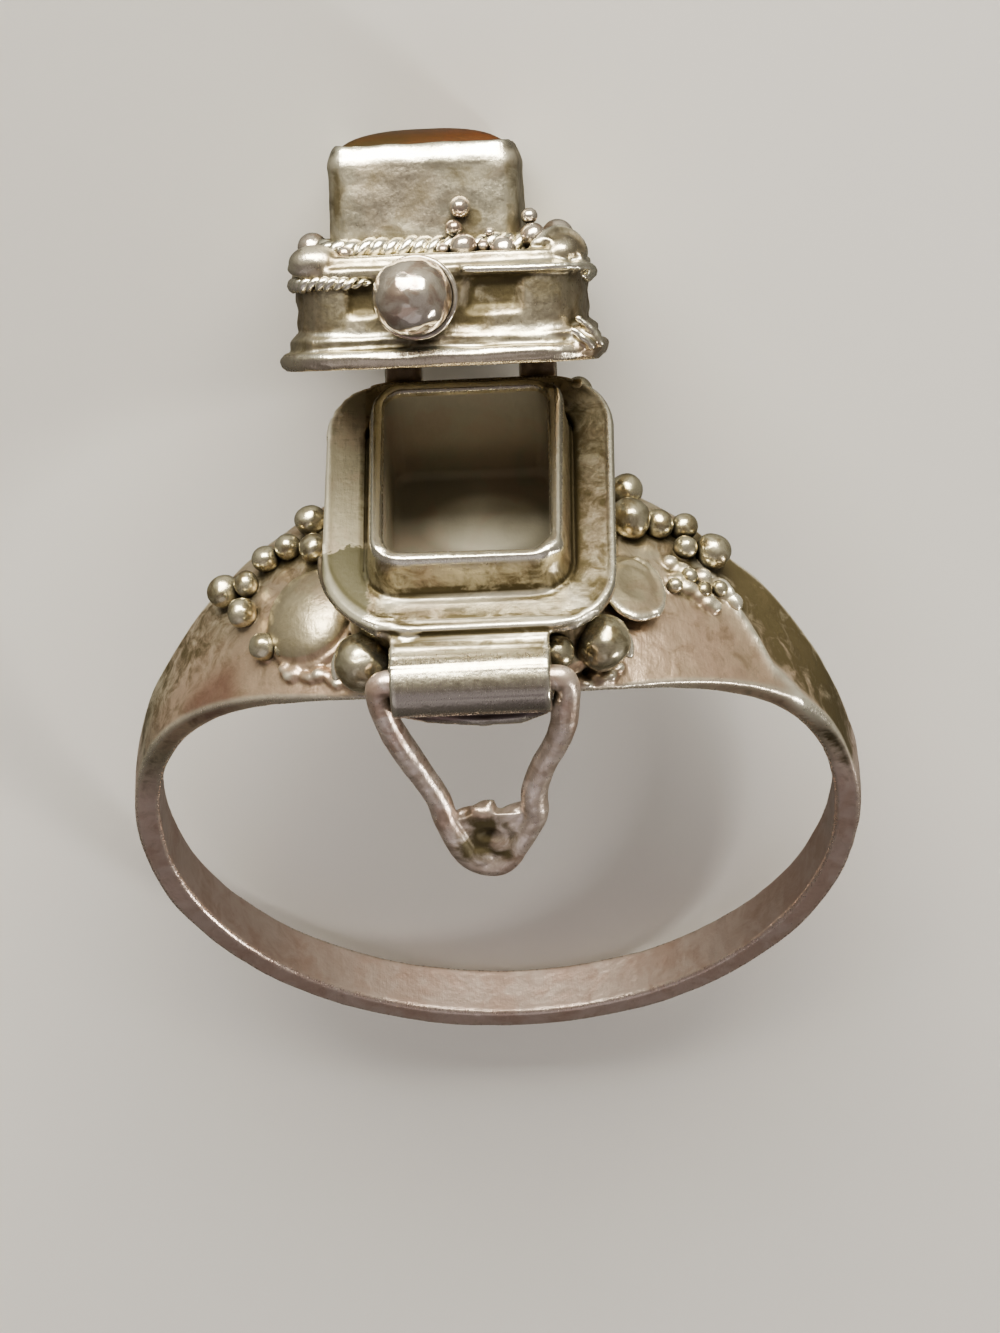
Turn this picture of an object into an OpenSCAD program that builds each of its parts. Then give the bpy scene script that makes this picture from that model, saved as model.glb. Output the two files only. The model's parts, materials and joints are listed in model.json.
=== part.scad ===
// Poison ring: a finger ring whose head is a small box with a hinged lid and a wire latch loop.
// Every piece is drawn on the upright ring: X across the hand, Y along the finger towards the
// hinge, Z up through the head, with the centre of the finger hole at zero. The whole ring is
// then laid on its back, as it rests on a table with the lid open.

/* [Shank] */
// Inside diameter of the finger hole
hole_d = 18.6; // [18:0.1:19.4]
// Thickness of the shank at the middle of its width
shank_t = 0.72; // [0.6:0.02:0.9]
// Width of the shank at its sides and bottom
shank_w = 1.6; // [1.4:0.1:2.4]
// Greatest width of the shoulders, under the box
shoulder_w = 7.8; // [7.2:0.1:8.4]
// Radius of the sweep that widens the shank into the shoulders
flare_r = 12.5; // [12:0.1:13]
// Height above the hole's centre at which the shank starts to widen
flare_z = 1.5; // [1:0.1:2]
// Radius of the crown across the shank's outer face
crown_r = 12.5; // [12:0.5:16]

/* [Box] */
// Width of the box's wall, across the hand
wall_x = 6.4; // [6.2:0.1:6.6]
// Length of the box's wall, along the finger
wall_y = 7.5; // [7.4:0.1:7.6]
// Width of the ledge round the box's mouth
ledge_x = 7.5; // [7.3:0.1:7.7]
// Length of the ledge round the box's mouth
ledge_y = 8.64; // [8.6:0.02:8.7]
// Height of the ledge's rim above the hole's centre
rim_z = 12.37; // [12.3:0.01:12.4]
// Thickness of the ledge with its rim
ledge_t = 0.42; // [0.36:0.01:0.44]
// Depth to which the ledge is dished inside its rim
ledge_dish = 0.12; // [0.05:0.01:0.15]
// Inside width of the compartment
bin_x = 4.22; // [4.1:0.02:4.3]
// Inside length of the compartment
bin_y = 5.44; // [5.3:0.02:5.5]
// Height of the compartment's floor above the hole's centre
bin_floor_z = 10.3; // [10.2:0.1:10.8]
// Thickness of the collar round the compartment's mouth
collar_t = 0.45; // [0.35:0.05:0.5]
// Height of the collar above the rim
collar_h = 1.24; // [1:0.02:1.3]

/* [Latch] */
// Outside diameter of the latch tube
tube_d = 1.8; // [1.7:0.05:1.85]
// Length of the latch tube
tube_len = 4.05; // [3.9:0.05:4.1]
// Diameter of the loop's wire
loop_wire_d = 0.64; // [0.56:0.02:0.68]
// Angle at which the loop hangs, below straight forward
loop_hang = 80; // [75:1:85]

/* [Lid] */
// Angle at which the lid stands open
lid_open = 45.5; // [40:0.5:45.5]
// Shift of the lid's middle to the left of the hinge's
lid_shift = 0.35; // [0:0.05:0.4]
// Width of the lid's flange
flange_x = 8.15; // [7.95:0.05:8.2]
// Length of the lid's flange
flange_y = 8.5; // [8.4:0.1:8.6]
// Width of the lid's wall
lid_wall_x = 7.15; // [7:0.05:7.2]
// Length of the lid's wall
lid_wall_y = 7.8; // [7.7:0.1:7.9]
// Height of the roof's underside above the lid's lower face
lid_inside_h = 2.2; // [2:0.1:2.3]
// Height of the bezel's rim above the lid's lower face
bezel_top_h = 5.57; // [5.4:0.01:5.7]
// Width of the bezel
bezel_x = 4.75; // [4.6:0.05:4.8]
// Length of the bezel
bezel_y = 5.0; // [4.8:0.1:5.2]
// Diameter of the catch ball on the lid's front
ball_d = 1.96; // [1.8:0.02:2]

/* [Stone] */
// Height of the cabochon's top above the lid's lower face
stone_top_h = 6.05; // [5.9:0.05:6.2]
// Radius of the cabochon's dome
stone_r = 5.2; // [4.8:0.1:6]

/* [Hidden] */
$fn = 64;

// Outer radius of the shank
shank_r = hole_d / 2 + shank_t;
// Depth by which pieces that are soldered together run into each other
solder = 0.3;

// Corner radii of the box, from the wall inwards
wall_corner = 1.5;
ledge_corner = 1.75;
ledge_rim_w = 0.25;
collar_corner = 0.9;
bin_corner = 0.45;
// Gap between the lid's lower face and the box's rim when the lid is shut
lid_gap = 0.05;
lid_z = rim_z + lid_gap;
// Gap between the stone and its bezel
stone_gap = 0.03;

// Hinge: its axis runs along X, under the ledge's back edge
hinge_y = 4.5;
hinge_z = 11.4;
knuckle_d = 0.9;
pin_d = 0.56;
pin_clear = 0.03;
box_knuckle_len = 2.4;
lid_knuckle_len = 1.0;
knuckle_gap = 0.08;
hinge_half = box_knuckle_len / 2 + knuckle_gap + lid_knuckle_len;
leaf_t = 0.38;
leaf_gap = 0.1;
// Length of each leaf's tail below the axis, which stops the open lid on the box's wall
tail_len = 0.92;

// Latch: the tube's axis runs along X, in front of the box
tube_y = -5.05;
tube_z = 11.2;
tube_x = -0.02;
// Gap round the loop's wire inside the tube
loop_clear = 0.05;
strap_t = 0.36;
// Depth of the strap's upper face below the top of the tube
strap_drop = 0.04;
tongue_z = 10.05;
tongue_t = 0.32;
tongue_front_y = -5.62;
tongue_x = 3.8;

// Lid: heights are above its lower face
flange_t = 0.48;
flange_corner = 1.7;
step_t = 0.4;
step_inset = 0.45;
roof_t = 0.3;
plate_t = 0.3;
plate_inset = -0.1;
plate_h = lid_inside_h + roof_t;
lid_wall_t = 0.4;
lid_corner = 1.3;
bezel_t = 0.25;
bezel_corner = 0.55;
// Shift of the bezel to the left of the lid's middle
bezel_shift = 0.33;
stone_seat_h = 3.4;
rope_r = 0.17;
ball_x = -0.4;
ball_y = -4.75;
ball_h = 1.82;

// Hinge pin: its left head is flat and its right end is a ball
pin_left = -hinge_half - 0.25;
pin_right = hinge_half + 0.3;
pin_head_d = 0.72;
pin_head_t = 0.24;
pin_ball_d = 0.76;

// Loop: its cross-bar and the knob on it, by distance from the tube's axis and place along X
bar_d = 0.46;
bar_w = 4.9;
bar_left = -1.1;
bar_right = 1.4;
knob_x = -0.15;
knob_d = 0.84;
// Corners of the loop in its own plane, where its wire is bent, starting beside the tube
L_X = 0;
L_W = 1;
L_BEND = 2;
loop_corners = [
    [-2.62, 0, 0.42], [-2.60, 1.3, 1.2], [-0.75, 6.08, 0.5], [0.75, 6.08, 0.5],
    [1.66, 4.4, 0.4], [1.33, 3.55, 0.4], [2.70, 1.4, 0.8], [2.66, 0, 0.42],
];

// Angle by which the ring leans when it lies on the lid's rim and the shank's back edge
rest_lean = 14.31;
// Height of the hole's centre above the table
rest_z = 3.245;
// Place of the hole's centre along the table
rest_y = -5.771;

// Height of a granule's centre over the face it sits on, in its radii
granule_lift = 0.7;
// Granules on the shoulders, each by its angle from the top, its place along Y and its radius
G_ANGLE = 0;
G_Y = 1;
G_R = 2;
left_granules = [
    [-26.1, 2.41, 0.44], [-25.0, 1.25, 0.41], [-29.8, 1.74, 0.36], [-33.9, 1.64, 0.38],
    [-37.4, 1.08, 0.36], [-41.9, 1.24, 0.45], [-37.6, 0.05, 0.40], [-33.8, -1.44, 0.39],
    [-30.6, -1.7, 0.2],
];
right_granules = [
    [23.4, 2.90, 0.46], [23.2, 1.68, 0.56], [28.3, 1.91, 0.39], [32.7, 2.12, 0.38],
    [32.7, 1.35, 0.33], [37.1, 1.50, 0.49], [33.1, 0.40, 0.24], [35.7, 0.08, 0.24],
    [30.5, -0.12, 0.22], [38.6, 0.39, 0.22],
];
// Tiny beads along the shoulders' front edges, by the angles of the first and the last of a row
left_bead_angles = [-30, -18.5];
left_bead_y = [-2.45, -3.45];
right_bead_angles = [14, 22];
right_bead_y = [-3.75, -3.1];
bead_count = 7;
bead_r = 0.17;
// Balls at the box's front corners, by place and radius
corner_balls = [
    [-2.83, -3.60, 10.32, 0.78],
    [3.27, -3.12, 10.17, 0.75],
    [2.13, -3.92, 10.80, 0.46],
];
// Domed discs beside the box, by angle, place along Y, radius on the shank and height
D_ANGLE = 0;
D_Y = 1;
D_R = 2;
D_H = 3;
discs = [
    [-23.2, -1.95, 1.30, 0.85],
    [22.6, -1.25, 1.20, 0.55],
];

// Granules on the lid's upper plate, by place along X and Y from the lid's middle, and radius
G_X = 0;
lid_granules = [
    [0.55, -2.98, 0.36], [1.25, -3.2, 0.34], [1.95, -3.1, 0.30], [0.95, -2.75, 0.26],
    [2.95, -1.5, 0.42], [2.95, -0.5, 0.34], [-3.2, -1.6, 0.38], [-3.15, -0.7, 0.32],
    [-2.2, -3.1, 0.30], [-1.4, -3.2, 0.28],
];

// Rounded rectangle, centred, with its corners' radius
module cushion(size_x, size_y, corner) {
    union() {
        square([size_x - 2 * corner, size_y], center = true);
        square([size_x, size_y - 2 * corner], center = true);
        for (sx = [-1, 1], sy = [-1, 1])
            translate([sx * (size_x / 2 - corner), sy * (size_y / 2 - corner)]) circle(r = corner);
    }
}

// Rounded rectangular block from one height to another
module cushion_block(size_x, size_y, corner, z0, z1) {
    translate([0, 0, z0]) linear_extrude(z1 - z0) cushion(size_x, size_y, corner);
}

// Round wire bent to a rounded rectangle, centred on its path
module wire_frame(size_x, size_y, corner, wire_r, z) {
    straight_x = size_x - 2 * corner;
    straight_y = size_y - 2 * corner;
    translate([0, 0, z]) {
        for (s = [-1, 1]) {
            translate([-straight_x / 2, s * size_y / 2, 0]) rotate([0, 90, 0])
                cylinder(r = wire_r, h = straight_x, $fn = 24);
            translate([s * size_x / 2, -straight_y / 2, 0]) rotate([-90, 0, 0])
                cylinder(r = wire_r, h = straight_y, $fn = 24);
        }
        for (k = [0:3])
            translate([(k == 0 || k == 3 ? 1 : -1) * straight_x / 2,
                       (k < 2 ? 1 : -1) * straight_y / 2, 0])
                rotate([0, 0, 90 * k]) rotate_extrude(angle = 90)
                    translate([corner, 0]) circle(r = wire_r, $fn = 24);
    }
}

// Cylinder along X, centred at a place
module rod_x(x, y, z, d, len) {
    translate([x - len / 2, y, z]) rotate([0, 90, 0]) cylinder(d = d, h = len);
}

// Radius of the shank's crowned face at a place along Y
function face_r(y) = shank_r - crown_r + sqrt(crown_r * crown_r - y * y);

// Point over the shank's face, at an angle from the top, a place along Y and a height
function shank_point(angle, y, h) =
    [(face_r(y) + h) * sin(angle), y, (face_r(y) + h) * cos(angle)];

// Outline of the shank seen from the side: Y across, Z up
module shank_outline() {
    top = shank_r + 1;
    difference() {
        translate([-shoulder_w / 2, -top]) square([shoulder_w, 2 * top]);
        for (s = [-1, 1]) {
            translate([s * (shank_w / 2 + flare_r), flare_z]) circle(r = flare_r, $fn = 120);
            translate([s * (shank_w / 2 + flare_r / 2), (flare_z - top) / 2])
                square([flare_r, flare_z + top], center = true);
        }
    }
}

// Ring of crowned section, before its width is cut
module crowned_hoop() {
    rotate([90, 0, 0]) rotate_extrude($fn = 120) intersection() {
        translate([hole_d / 2 - 1, -shoulder_w]) square([shank_t + 2, 2 * shoulder_w]);
        translate([shank_r - crown_r, 0]) circle(r = crown_r, $fn = 120);
    }
}

module shank() {
    intersection() {
        crowned_hoop();
        rotate([90, 0, 90]) translate([0, 0, -shank_r - 1]) linear_extrude(2 * shank_r + 2)
            shank_outline();
    }
}

module granules(table) {
    for (g = table)
        translate(shank_point(g[G_ANGLE], g[G_Y], g[G_R] * granule_lift)) sphere(r = g[G_R]);
}

module bead_row(angles, ys) {
    for (i = [0:bead_count - 1]) {
        t = i / (bead_count - 1);
        translate(shank_point(angles[0] + t * (angles[1] - angles[0]),
                              ys[0] + t * (ys[1] - ys[0]), bead_r * granule_lift))
            sphere(r = bead_r, $fn = 24);
    }
}

// Spherical cap raised from the shank's face
module disc_dome(d) {
    cap_r = (d[D_R] * d[D_R] + d[D_H] * d[D_H]) / (2 * d[D_H]);
    translate(shank_point(d[D_ANGLE], d[D_Y], d[D_H] - cap_r)) sphere(r = cap_r);
}

module box_shell() {
    ledge_z = rim_z - ledge_t;
    difference() {
        union() {
            cushion_block(wall_x, wall_y, wall_corner, shank_r - 1.5, ledge_z + solder / 2);
            cushion_block(ledge_x, ledge_y, ledge_corner, ledge_z, rim_z);
        }
        cushion_block(ledge_x - 2 * ledge_rim_w, ledge_y - 2 * ledge_rim_w, ledge_corner - ledge_rim_w,
                      rim_z - ledge_dish, rim_z + 1);
    }
    cushion_block(bin_x + 2 * collar_t, bin_y + 2 * collar_t, collar_corner, ledge_z, rim_z + collar_h);
}

module latch_tube() {
    rod_x(tube_x, tube_y, tube_z, tube_d, tube_len);
    strap_top = tube_z + tube_d / 2 - strap_drop;
    translate([tube_x - tube_len / 2, tube_y, strap_top - strap_t])
        cube([tube_len, -wall_y / 2 + solder - tube_y, strap_t]);
    translate([-tongue_x / 2, tongue_front_y, tongue_z])
        cube([tongue_x, -wall_y / 2 + solder - tongue_front_y, tongue_t]);
}

module box_knuckle() {
    rod_x(0, hinge_y, hinge_z, knuckle_d, box_knuckle_len);
    translate([-box_knuckle_len / 2, wall_y / 2 - solder, hinge_z - knuckle_d / 2])
        cube([box_knuckle_len, hinge_y - wall_y / 2 + solder, rim_z - ledge_t - hinge_z + knuckle_d / 2]);
}

module ring_body() {
    color("silver") on_table() difference() {
        union() {
            shank();
            box_shell();
            latch_tube();
            box_knuckle();
            granules(left_granules);
            granules(right_granules);
            bead_row(left_bead_angles, left_bead_y);
            bead_row(right_bead_angles, right_bead_y);
            for (b = corner_balls)
                translate([b[0], b[1], b[2]]) sphere(r = b[3]);
            for (d = discs)
                disc_dome(d);
        }
        rotate([90, 0, 0]) cylinder(d = hole_d, h = 20, center = true, $fn = 120);
        cushion_block(bin_x, bin_y, bin_corner, bin_floor_z, rim_z + collar_h + 1);
        rod_x(tube_x, tube_y, tube_z, loop_wire_d + 2 * loop_clear, tube_len + 1);
        rod_x(0, hinge_y, hinge_z, pin_d + 2 * pin_clear, box_knuckle_len + 1);
    }
}

// The lid is drawn shut on the box, from its lower face up
module lid_shell() {
    difference() {
        union() {
            cushion_block(flange_x, flange_y, flange_corner, 0, flange_t);
            cushion_block(flange_x - step_inset, flange_y - step_inset, flange_corner - step_inset / 2,
                          flange_t, flange_t + step_t);
            cushion_block(lid_wall_x, lid_wall_y, lid_corner, 0, plate_h);
            cushion_block(lid_wall_x - 2 * plate_inset, lid_wall_y - plate_inset, lid_corner - plate_inset,
                          plate_h, plate_h + plate_t);
            translate([-bezel_shift, 0, 0])
                cushion_block(bezel_x, bezel_y, bezel_corner, plate_h, bezel_top_h);
        }
        cushion_block(lid_wall_x - 2 * lid_wall_t, lid_wall_y - 2 * lid_wall_t, lid_corner - lid_wall_t,
                      -1, lid_inside_h);
        translate([-bezel_shift, 0, 0])
            cushion_block(bezel_x - 2 * bezel_t, bezel_y - 2 * bezel_t, bezel_corner - bezel_t,
                          stone_seat_h, bezel_top_h + 1);
    }
}

module lid_leaves() {
    for (s = [-1, 1])
        translate([s * (hinge_half - lid_knuckle_len / 2), 0, 0]) {
            rod_x(0, hinge_y, hinge_z, knuckle_d, lid_knuckle_len);
            translate([-lid_knuckle_len / 2, ledge_y / 2 + leaf_gap, hinge_z - tail_len])
                cube([lid_knuckle_len, leaf_t, lid_z - hinge_z + tail_len + flange_t]);
            translate([-lid_knuckle_len / 2, flange_y / 2 - solder, lid_z])
                cube([lid_knuckle_len, ledge_y / 2 + leaf_gap + leaf_t - flange_y / 2 + solder, flange_t]);
        }
}

module lid() {
    color("lightgray") on_table() lid_pose() difference() {
        union() {
            translate([-lid_shift, 0, lid_z]) {
                lid_shell();
                translate([-bezel_shift, 0, 0])
                    wire_frame(bezel_x + rope_r, bezel_y + rope_r, bezel_corner, rope_r,
                               plate_h + plate_t + rope_r * 0.8);
                for (g = lid_granules)
                    translate([g[G_X], g[G_Y], plate_h + plate_t + g[G_R] * granule_lift])
                        sphere(r = g[G_R], $fn = 32);
            }
            translate([ball_x, ball_y, lid_z + ball_h]) sphere(d = ball_d);
            lid_leaves();
        }
        rod_x(0, hinge_y, hinge_z, pin_d + 2 * pin_clear, 2 * hinge_half + 1);
    }
}

module stone() {
    inset = 2 * (bezel_t + stone_gap);
    color("chocolate") on_table() lid_pose() translate([-lid_shift - bezel_shift, 0, lid_z]) intersection() {
        cushion_block(bezel_x - inset, bezel_y - inset, bezel_corner - inset / 2,
                      stone_seat_h + stone_gap, stone_top_h);
        translate([0, 0, stone_top_h - stone_r]) sphere(r = stone_r, $fn = 96);
    }
}

module hinge_pin() {
    color("gray") on_table() {
        rod_x((pin_left + pin_right) / 2, hinge_y, hinge_z, pin_d, pin_right - pin_left);
        translate([pin_right + pin_ball_d / 4, hinge_y, hinge_z]) sphere(d = pin_ball_d, $fn = 32);
        rod_x(pin_left, hinge_y, hinge_z, pin_head_d, pin_head_t);
    }
}

// Direction of a closed run of corners from one corner to the next, as an angle
function heading(c, i) =
    let (a = c[i % len(c)], b = c[(i + 1) % len(c)]) atan2(b[L_W] - a[L_W], b[L_X] - a[L_X]);

// Turn at a corner, from -180 to 180 degrees
function turn_at(c, i) =
    let (d = heading(c, i) - heading(c, i + len(c) - 1)) d > 180 ? d - 360 : d < -180 ? d + 360 : d;

// Straight length of wire that the bend at a corner takes up
function bend_len(c, i) = c[i % len(c)][L_BEND] * tan(abs(turn_at(c, i % len(c))) / 2);

// Round wire along a closed run of corners in the XY plane, straight between round bends.
// Each bend runs a little way into the straight pieces beside it and is a hair thinner.
module bent_wire(c, wire_r) {
    seat = 0.03;
    for (i = [0:len(c) - 1]) {
        next = c[(i + 1) % len(c)];
        straight = norm([next[L_X] - c[i][L_X], next[L_W] - c[i][L_W]])
            - bend_len(c, i) - bend_len(c, i + 1);
        translate([c[i][L_X], c[i][L_W], 0]) rotate([0, 0, heading(c, i)])
            translate([bend_len(c, i), 0, 0]) rotate([0, 90, 0])
                cylinder(r = wire_r, h = straight, $fn = 24);
        turn = turn_at(c, i);
        bend = c[i][L_BEND];
        extra = atan(seat / bend);
        translate([c[i][L_X], c[i][L_W], 0]) rotate([0, 0, heading(c, i + len(c) - 1)])
            translate([-bend_len(c, i), sign(turn) * bend, 0])
                rotate([0, 0, (turn > 0 ? -90 : 90 + turn) - extra])
                    rotate_extrude(angle = abs(turn) + 2 * extra, $fn = 64)
                        translate([bend, 0]) circle(r = wire_r - 0.006, $fn = 24);
    }
}

module latch_loop() {
    color("darkgray") on_table() translate([0, tube_y, tube_z]) rotate([180 + loop_hang, 0, 0]) {
        bent_wire(loop_corners, loop_wire_d / 2);
        rod_x((bar_left + bar_right) / 2, bar_w, 0, bar_d, bar_right - bar_left);
        translate([knob_x, bar_w, 0]) sphere(d = knob_d, $fn = 32);
    }
}

// Open the lid by turning it back about the hinge
module lid_pose() {
    translate([0, hinge_y, hinge_z]) rotate([-lid_open, 0, 0]) translate([0, -hinge_y, -hinge_z])
        children();
}

// Lay the ring on its back
module on_table() {
    translate([0, rest_y, rest_z]) rotate([rest_lean - 90, 0, 0]) children();
}

ring_body();
lid();
stone();
hinge_pin();
latch_loop();
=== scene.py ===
import json
import math

import bpy
import numpy as np
from mathutils import Matrix, Vector, noise


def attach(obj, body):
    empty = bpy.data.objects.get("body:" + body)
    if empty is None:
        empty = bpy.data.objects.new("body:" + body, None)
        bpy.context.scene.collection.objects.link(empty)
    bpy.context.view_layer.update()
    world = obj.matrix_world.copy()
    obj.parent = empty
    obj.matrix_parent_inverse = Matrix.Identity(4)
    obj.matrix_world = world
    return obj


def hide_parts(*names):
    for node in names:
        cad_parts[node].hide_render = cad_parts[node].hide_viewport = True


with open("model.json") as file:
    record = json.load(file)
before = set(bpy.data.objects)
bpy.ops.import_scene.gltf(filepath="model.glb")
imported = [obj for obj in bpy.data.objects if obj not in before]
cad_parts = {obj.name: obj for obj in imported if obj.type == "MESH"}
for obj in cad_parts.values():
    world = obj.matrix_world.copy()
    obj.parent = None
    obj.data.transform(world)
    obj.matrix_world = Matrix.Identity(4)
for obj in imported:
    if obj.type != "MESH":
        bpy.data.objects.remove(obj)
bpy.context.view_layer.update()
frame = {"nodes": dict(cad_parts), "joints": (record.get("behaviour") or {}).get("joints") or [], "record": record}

MM = 0.001

# The ring's own frame: X across the hand, Y along the finger to the hinge, Z up through the head
finger_hole = next(m for m in frame["record"]["mounts"] if m["name"] == "finger_hole")
joints = {j["name"]: j for j in frame["joints"]}
along_finger = Vector(finger_hole["axis"])
across_hand = Vector((1, 0, 0))
ring_axes = Matrix((across_hand, along_finger, across_hand.cross(along_finger))).transposed().to_4x4()
RING = Matrix.Translation(finger_hole["pos_m"]) @ ring_axes @ Matrix.Scale(MM, 4)

# Sizes in millimetres, the same as the solids'
HOLE_R = finger_hole["dims"]["r_mm"]
SHANK_R = 10.02
SHANK_HALF_W = 0.8
# The shoulders widen on an arc that starts at a height, and the shank's face is crowned
SHOULDER_HALF_W = 3.9
FLARE_R = 12.5
FLARE_Z = 1.5
CROWN_R = 12.5
# Box, ledge and compartment: size across, size along the finger and corner radius
WALL = (6.4, 7.5, 1.5)
LEDGE = (7.5, 8.64, (1.75, 1.75, 2.35, 1.75))
RIM_Z = 12.37
BIN = (4.22, 5.44, 0.45)
BIN_FLOOR_Z = 10.3
COLLAR_T = 0.45
COLLAR_TOP = RIM_Z + 1.24
# The latch's tube, the hinge at the back and the lid
TUBE_Y, TUBE_Z, TUBE_R = -5.05, 11.2, 0.9
TUBE_LEFT, TUBE_RIGHT = -2.045, 2.005
BORE_R = 0.37
HINGE_Y, HINGE_Z = 4.5, 11.4
KNUCKLE_R = 0.45
PIN_HOLE_R = 0.31
LID_Z = RIM_Z + 0.05
LID_SHIFT = -0.35
LID_OPEN = math.radians(joints["lid_hinge"]["range_deg"][1])
LOOP_HANG = math.radians(80)

lid_hinge = Vector(joints["lid_hinge"]["pos_m"])
opened = Matrix.Rotation(-LID_OPEN, 4, "X")
LID_TURN = Matrix.Translation(lid_hinge) @ opened @ Matrix.Translation(-lid_hinge)
# The lid's frame: its lower face is at zero, as if shut, then it is turned open
LID = LID_TURN @ RING @ Matrix.Translation((LID_SHIFT, 0, LID_Z))
# The latch's frame: the tube's axis is at zero and the loop lies in the XY plane
LATCH = RING @ Matrix.Translation((0, TUBE_Y, TUBE_Z)) @ Matrix.Rotation(math.pi + LOOP_HANG, 4, "X")


# Shells: closed surfaces as vertices and faces, in millimetres

def around(n):
    """Angles once round a circle in n even steps."""
    return np.linspace(0, 2 * math.pi, n, endpoint=False)


def loft(rings, closed=False):
    """Surface through rings of as many points each, closed round or with a fan at either end."""
    n, count = len(rings[0]), len(rings)
    points = np.concatenate(rings)
    faces = []
    for i in range(count if closed else count - 1):
        for k in range(n):
            a, b = i * n + k, i * n + (k + 1) % n
            c, d = (i + 1) % count * n + (k + 1) % n, (i + 1) % count * n + k
            faces.append((a, b, c, d))
    if not closed:
        ends = np.array([np.mean(rings[0], 0), np.mean(rings[-1], 0)])
        for centre, first, flip in ((len(points), 0, True), (len(points) + 1, (count - 1) * n, False)):
            for k in range(n):
                a, b = first + k, first + (k + 1) % n
                faces.append((centre, b, a) if flip else (centre, a, b))
        points = np.concatenate([points, ends])
    return points, faces


def four(corner):
    """A cushion's corner radii: one for all, or back right, back left, front left and front right."""
    return corner if isinstance(corner, tuple) else (corner,) * 4


def cushion(size, z, n=120):
    """Rounded rectangle as a ring of points, evenly spaced."""
    sx, sy, corner = size
    outline = []
    for k, ((cx, cy), r) in enumerate(zip(((1, 1), (-1, 1), (-1, -1), (1, -1)), four(corner))):
        for t in np.linspace(0, math.pi / 2, 9) + k * math.pi / 2:
            outline.append((cx * (sx / 2 - r) + r * math.cos(t), cy * (sy / 2 - r) + r * math.sin(t)))
    outline = np.array(outline + outline[:1])
    run = np.concatenate([[0], np.cumsum(np.hypot(*np.diff(outline, axis=0).T))])
    at = np.linspace(0, run[-1], n, endpoint=False)
    x, y = np.interp(at, run, outline[:, 0]), np.interp(at, run, outline[:, 1])
    return np.stack([x, y, np.full(n, float(z))], 1)


def grown(size, by):
    """A cushion's size with every side moved out."""
    return size[0] + 2 * by, size[1] + 2 * by, tuple(max(r + by, 0.05) for r in four(size[2]))


def ball(centre, r, squash=(1, 1, 1), n=20):
    """Ball of n bands, squashed along the axes."""
    rings, u = [], around(2 * n)
    for i in range(1, n):
        t = math.pi * i / n
        level = np.full(2 * n, -math.cos(t))
        rings.append(np.stack([np.cos(u) * math.sin(t), np.sin(u) * math.sin(t), level], 1))
    points, faces = loft(rings)
    points[-2], points[-1] = (0, 0, -1), (0, 0, 1)
    return points * r * np.array(squash) + np.array(centre), faces


def smooth_line(points, passes=3):
    """Cut the corners of an open line, keeping its ends."""
    p = np.array(points, float)
    for _ in range(passes):
        q = np.empty((2 * len(p) - 2, p.shape[1]))
        q[0::2], q[1::2] = p[:-1] * 0.75 + p[1:] * 0.25, p[:-1] * 0.25 + p[1:] * 0.75
        p = np.concatenate([p[:1], q, p[-1:]])
    return p


def sweep(points, radii, sides=16, flat=1.0, closed=False):
    """Wire along a line; flat squeezes its section on one side."""
    p = np.array(points, float)
    radii = np.broadcast_to(radii, len(p))
    if closed:
        ahead, behind = np.roll(p, -1, 0), np.roll(p, 1, 0)
    else:
        ahead, behind = np.concatenate([p[1:], p[-1:]]), np.concatenate([p[:1], p[:-1]])
    t = ahead - behind
    t /= np.linalg.norm(t, axis=1)[:, None]
    rings, a, side = [], around(sides), np.cross(t[0], (0, 0, 1.0))
    if np.linalg.norm(side) < 0.1:
        side = np.cross(t[0], (0, 1.0, 0))
    for i in range(len(p)):
        side = side - t[i] * (side @ t[i])
        side /= np.linalg.norm(side)
        other = np.cross(t[i], side) * flat
        rings.append(p[i] + radii[i] * (np.cos(a)[:, None] * side + np.sin(a)[:, None] * other))
    return loft(rings, closed)


def wire(points, r, sides=10):
    """Round wire along a smoothed line, tapered to soft ends."""
    line = smooth_line(points)
    ends = np.minimum(np.linspace(0, 12, len(line)), np.linspace(12, 0, len(line)))
    return sweep(line, r * np.sqrt(np.clip(ends + 0.15, 0, 1)), sides)


def pipe(x0, x1, y, z, r, bore, bevel=0.05, sides=48):
    """Tube along X with rounded outer edges."""
    a, soft = around(sides), bevel * 0.3
    profile = [(x0 + bevel, r), (x1 - bevel, r), (x1 - soft, r - soft), (x1, r - bevel),
               (x1, bore), (x0, bore), (x0, r - bevel), (x0 + soft, r - soft)]
    rings = [np.stack([np.full(sides, x), y + q * np.cos(a), z + q * np.sin(a)], 1) for x, q in profile]
    return loft(rings, closed=True)


def slab(corners, z0, z1):
    """Straight plate over an outline in the XY plane."""
    return loft([np.array([(x, y, z) for x, y in corners], float) for z in (z0, z1)])


# Pieces: shells joined, fused into one skin, worn and laid in place

def mesh_from(name, shells):
    """One mesh of all the shells, in millimetres."""
    points, faces, start = [], [], 0
    for p, f in shells:
        points.append(p)
        faces += [tuple(i + start for i in face) for face in f]
        start += len(p)
    mesh = bpy.data.meshes.new(name)
    mesh.from_pydata(np.concatenate(points).tolist(), [], faces)
    mesh.update()
    return mesh


def coords(mesh):
    """Every vertex's place."""
    co = np.empty(len(mesh.vertices) * 3, np.float32)
    mesh.vertices.foreach_get("co", co)
    return co.reshape(-1, 3)


def directions(mesh):
    """Every vertex's normal."""
    normals = np.empty(len(mesh.vertices) * 3, np.float32)
    mesh.vertices.foreach_get("normal", normals)
    return normals.reshape(-1, 3)


def reshaped(mesh, co):
    """Move every vertex to a new place."""
    mesh.vertices.foreach_set("co", co.astype(np.float32).ravel())
    mesh.update()


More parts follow.
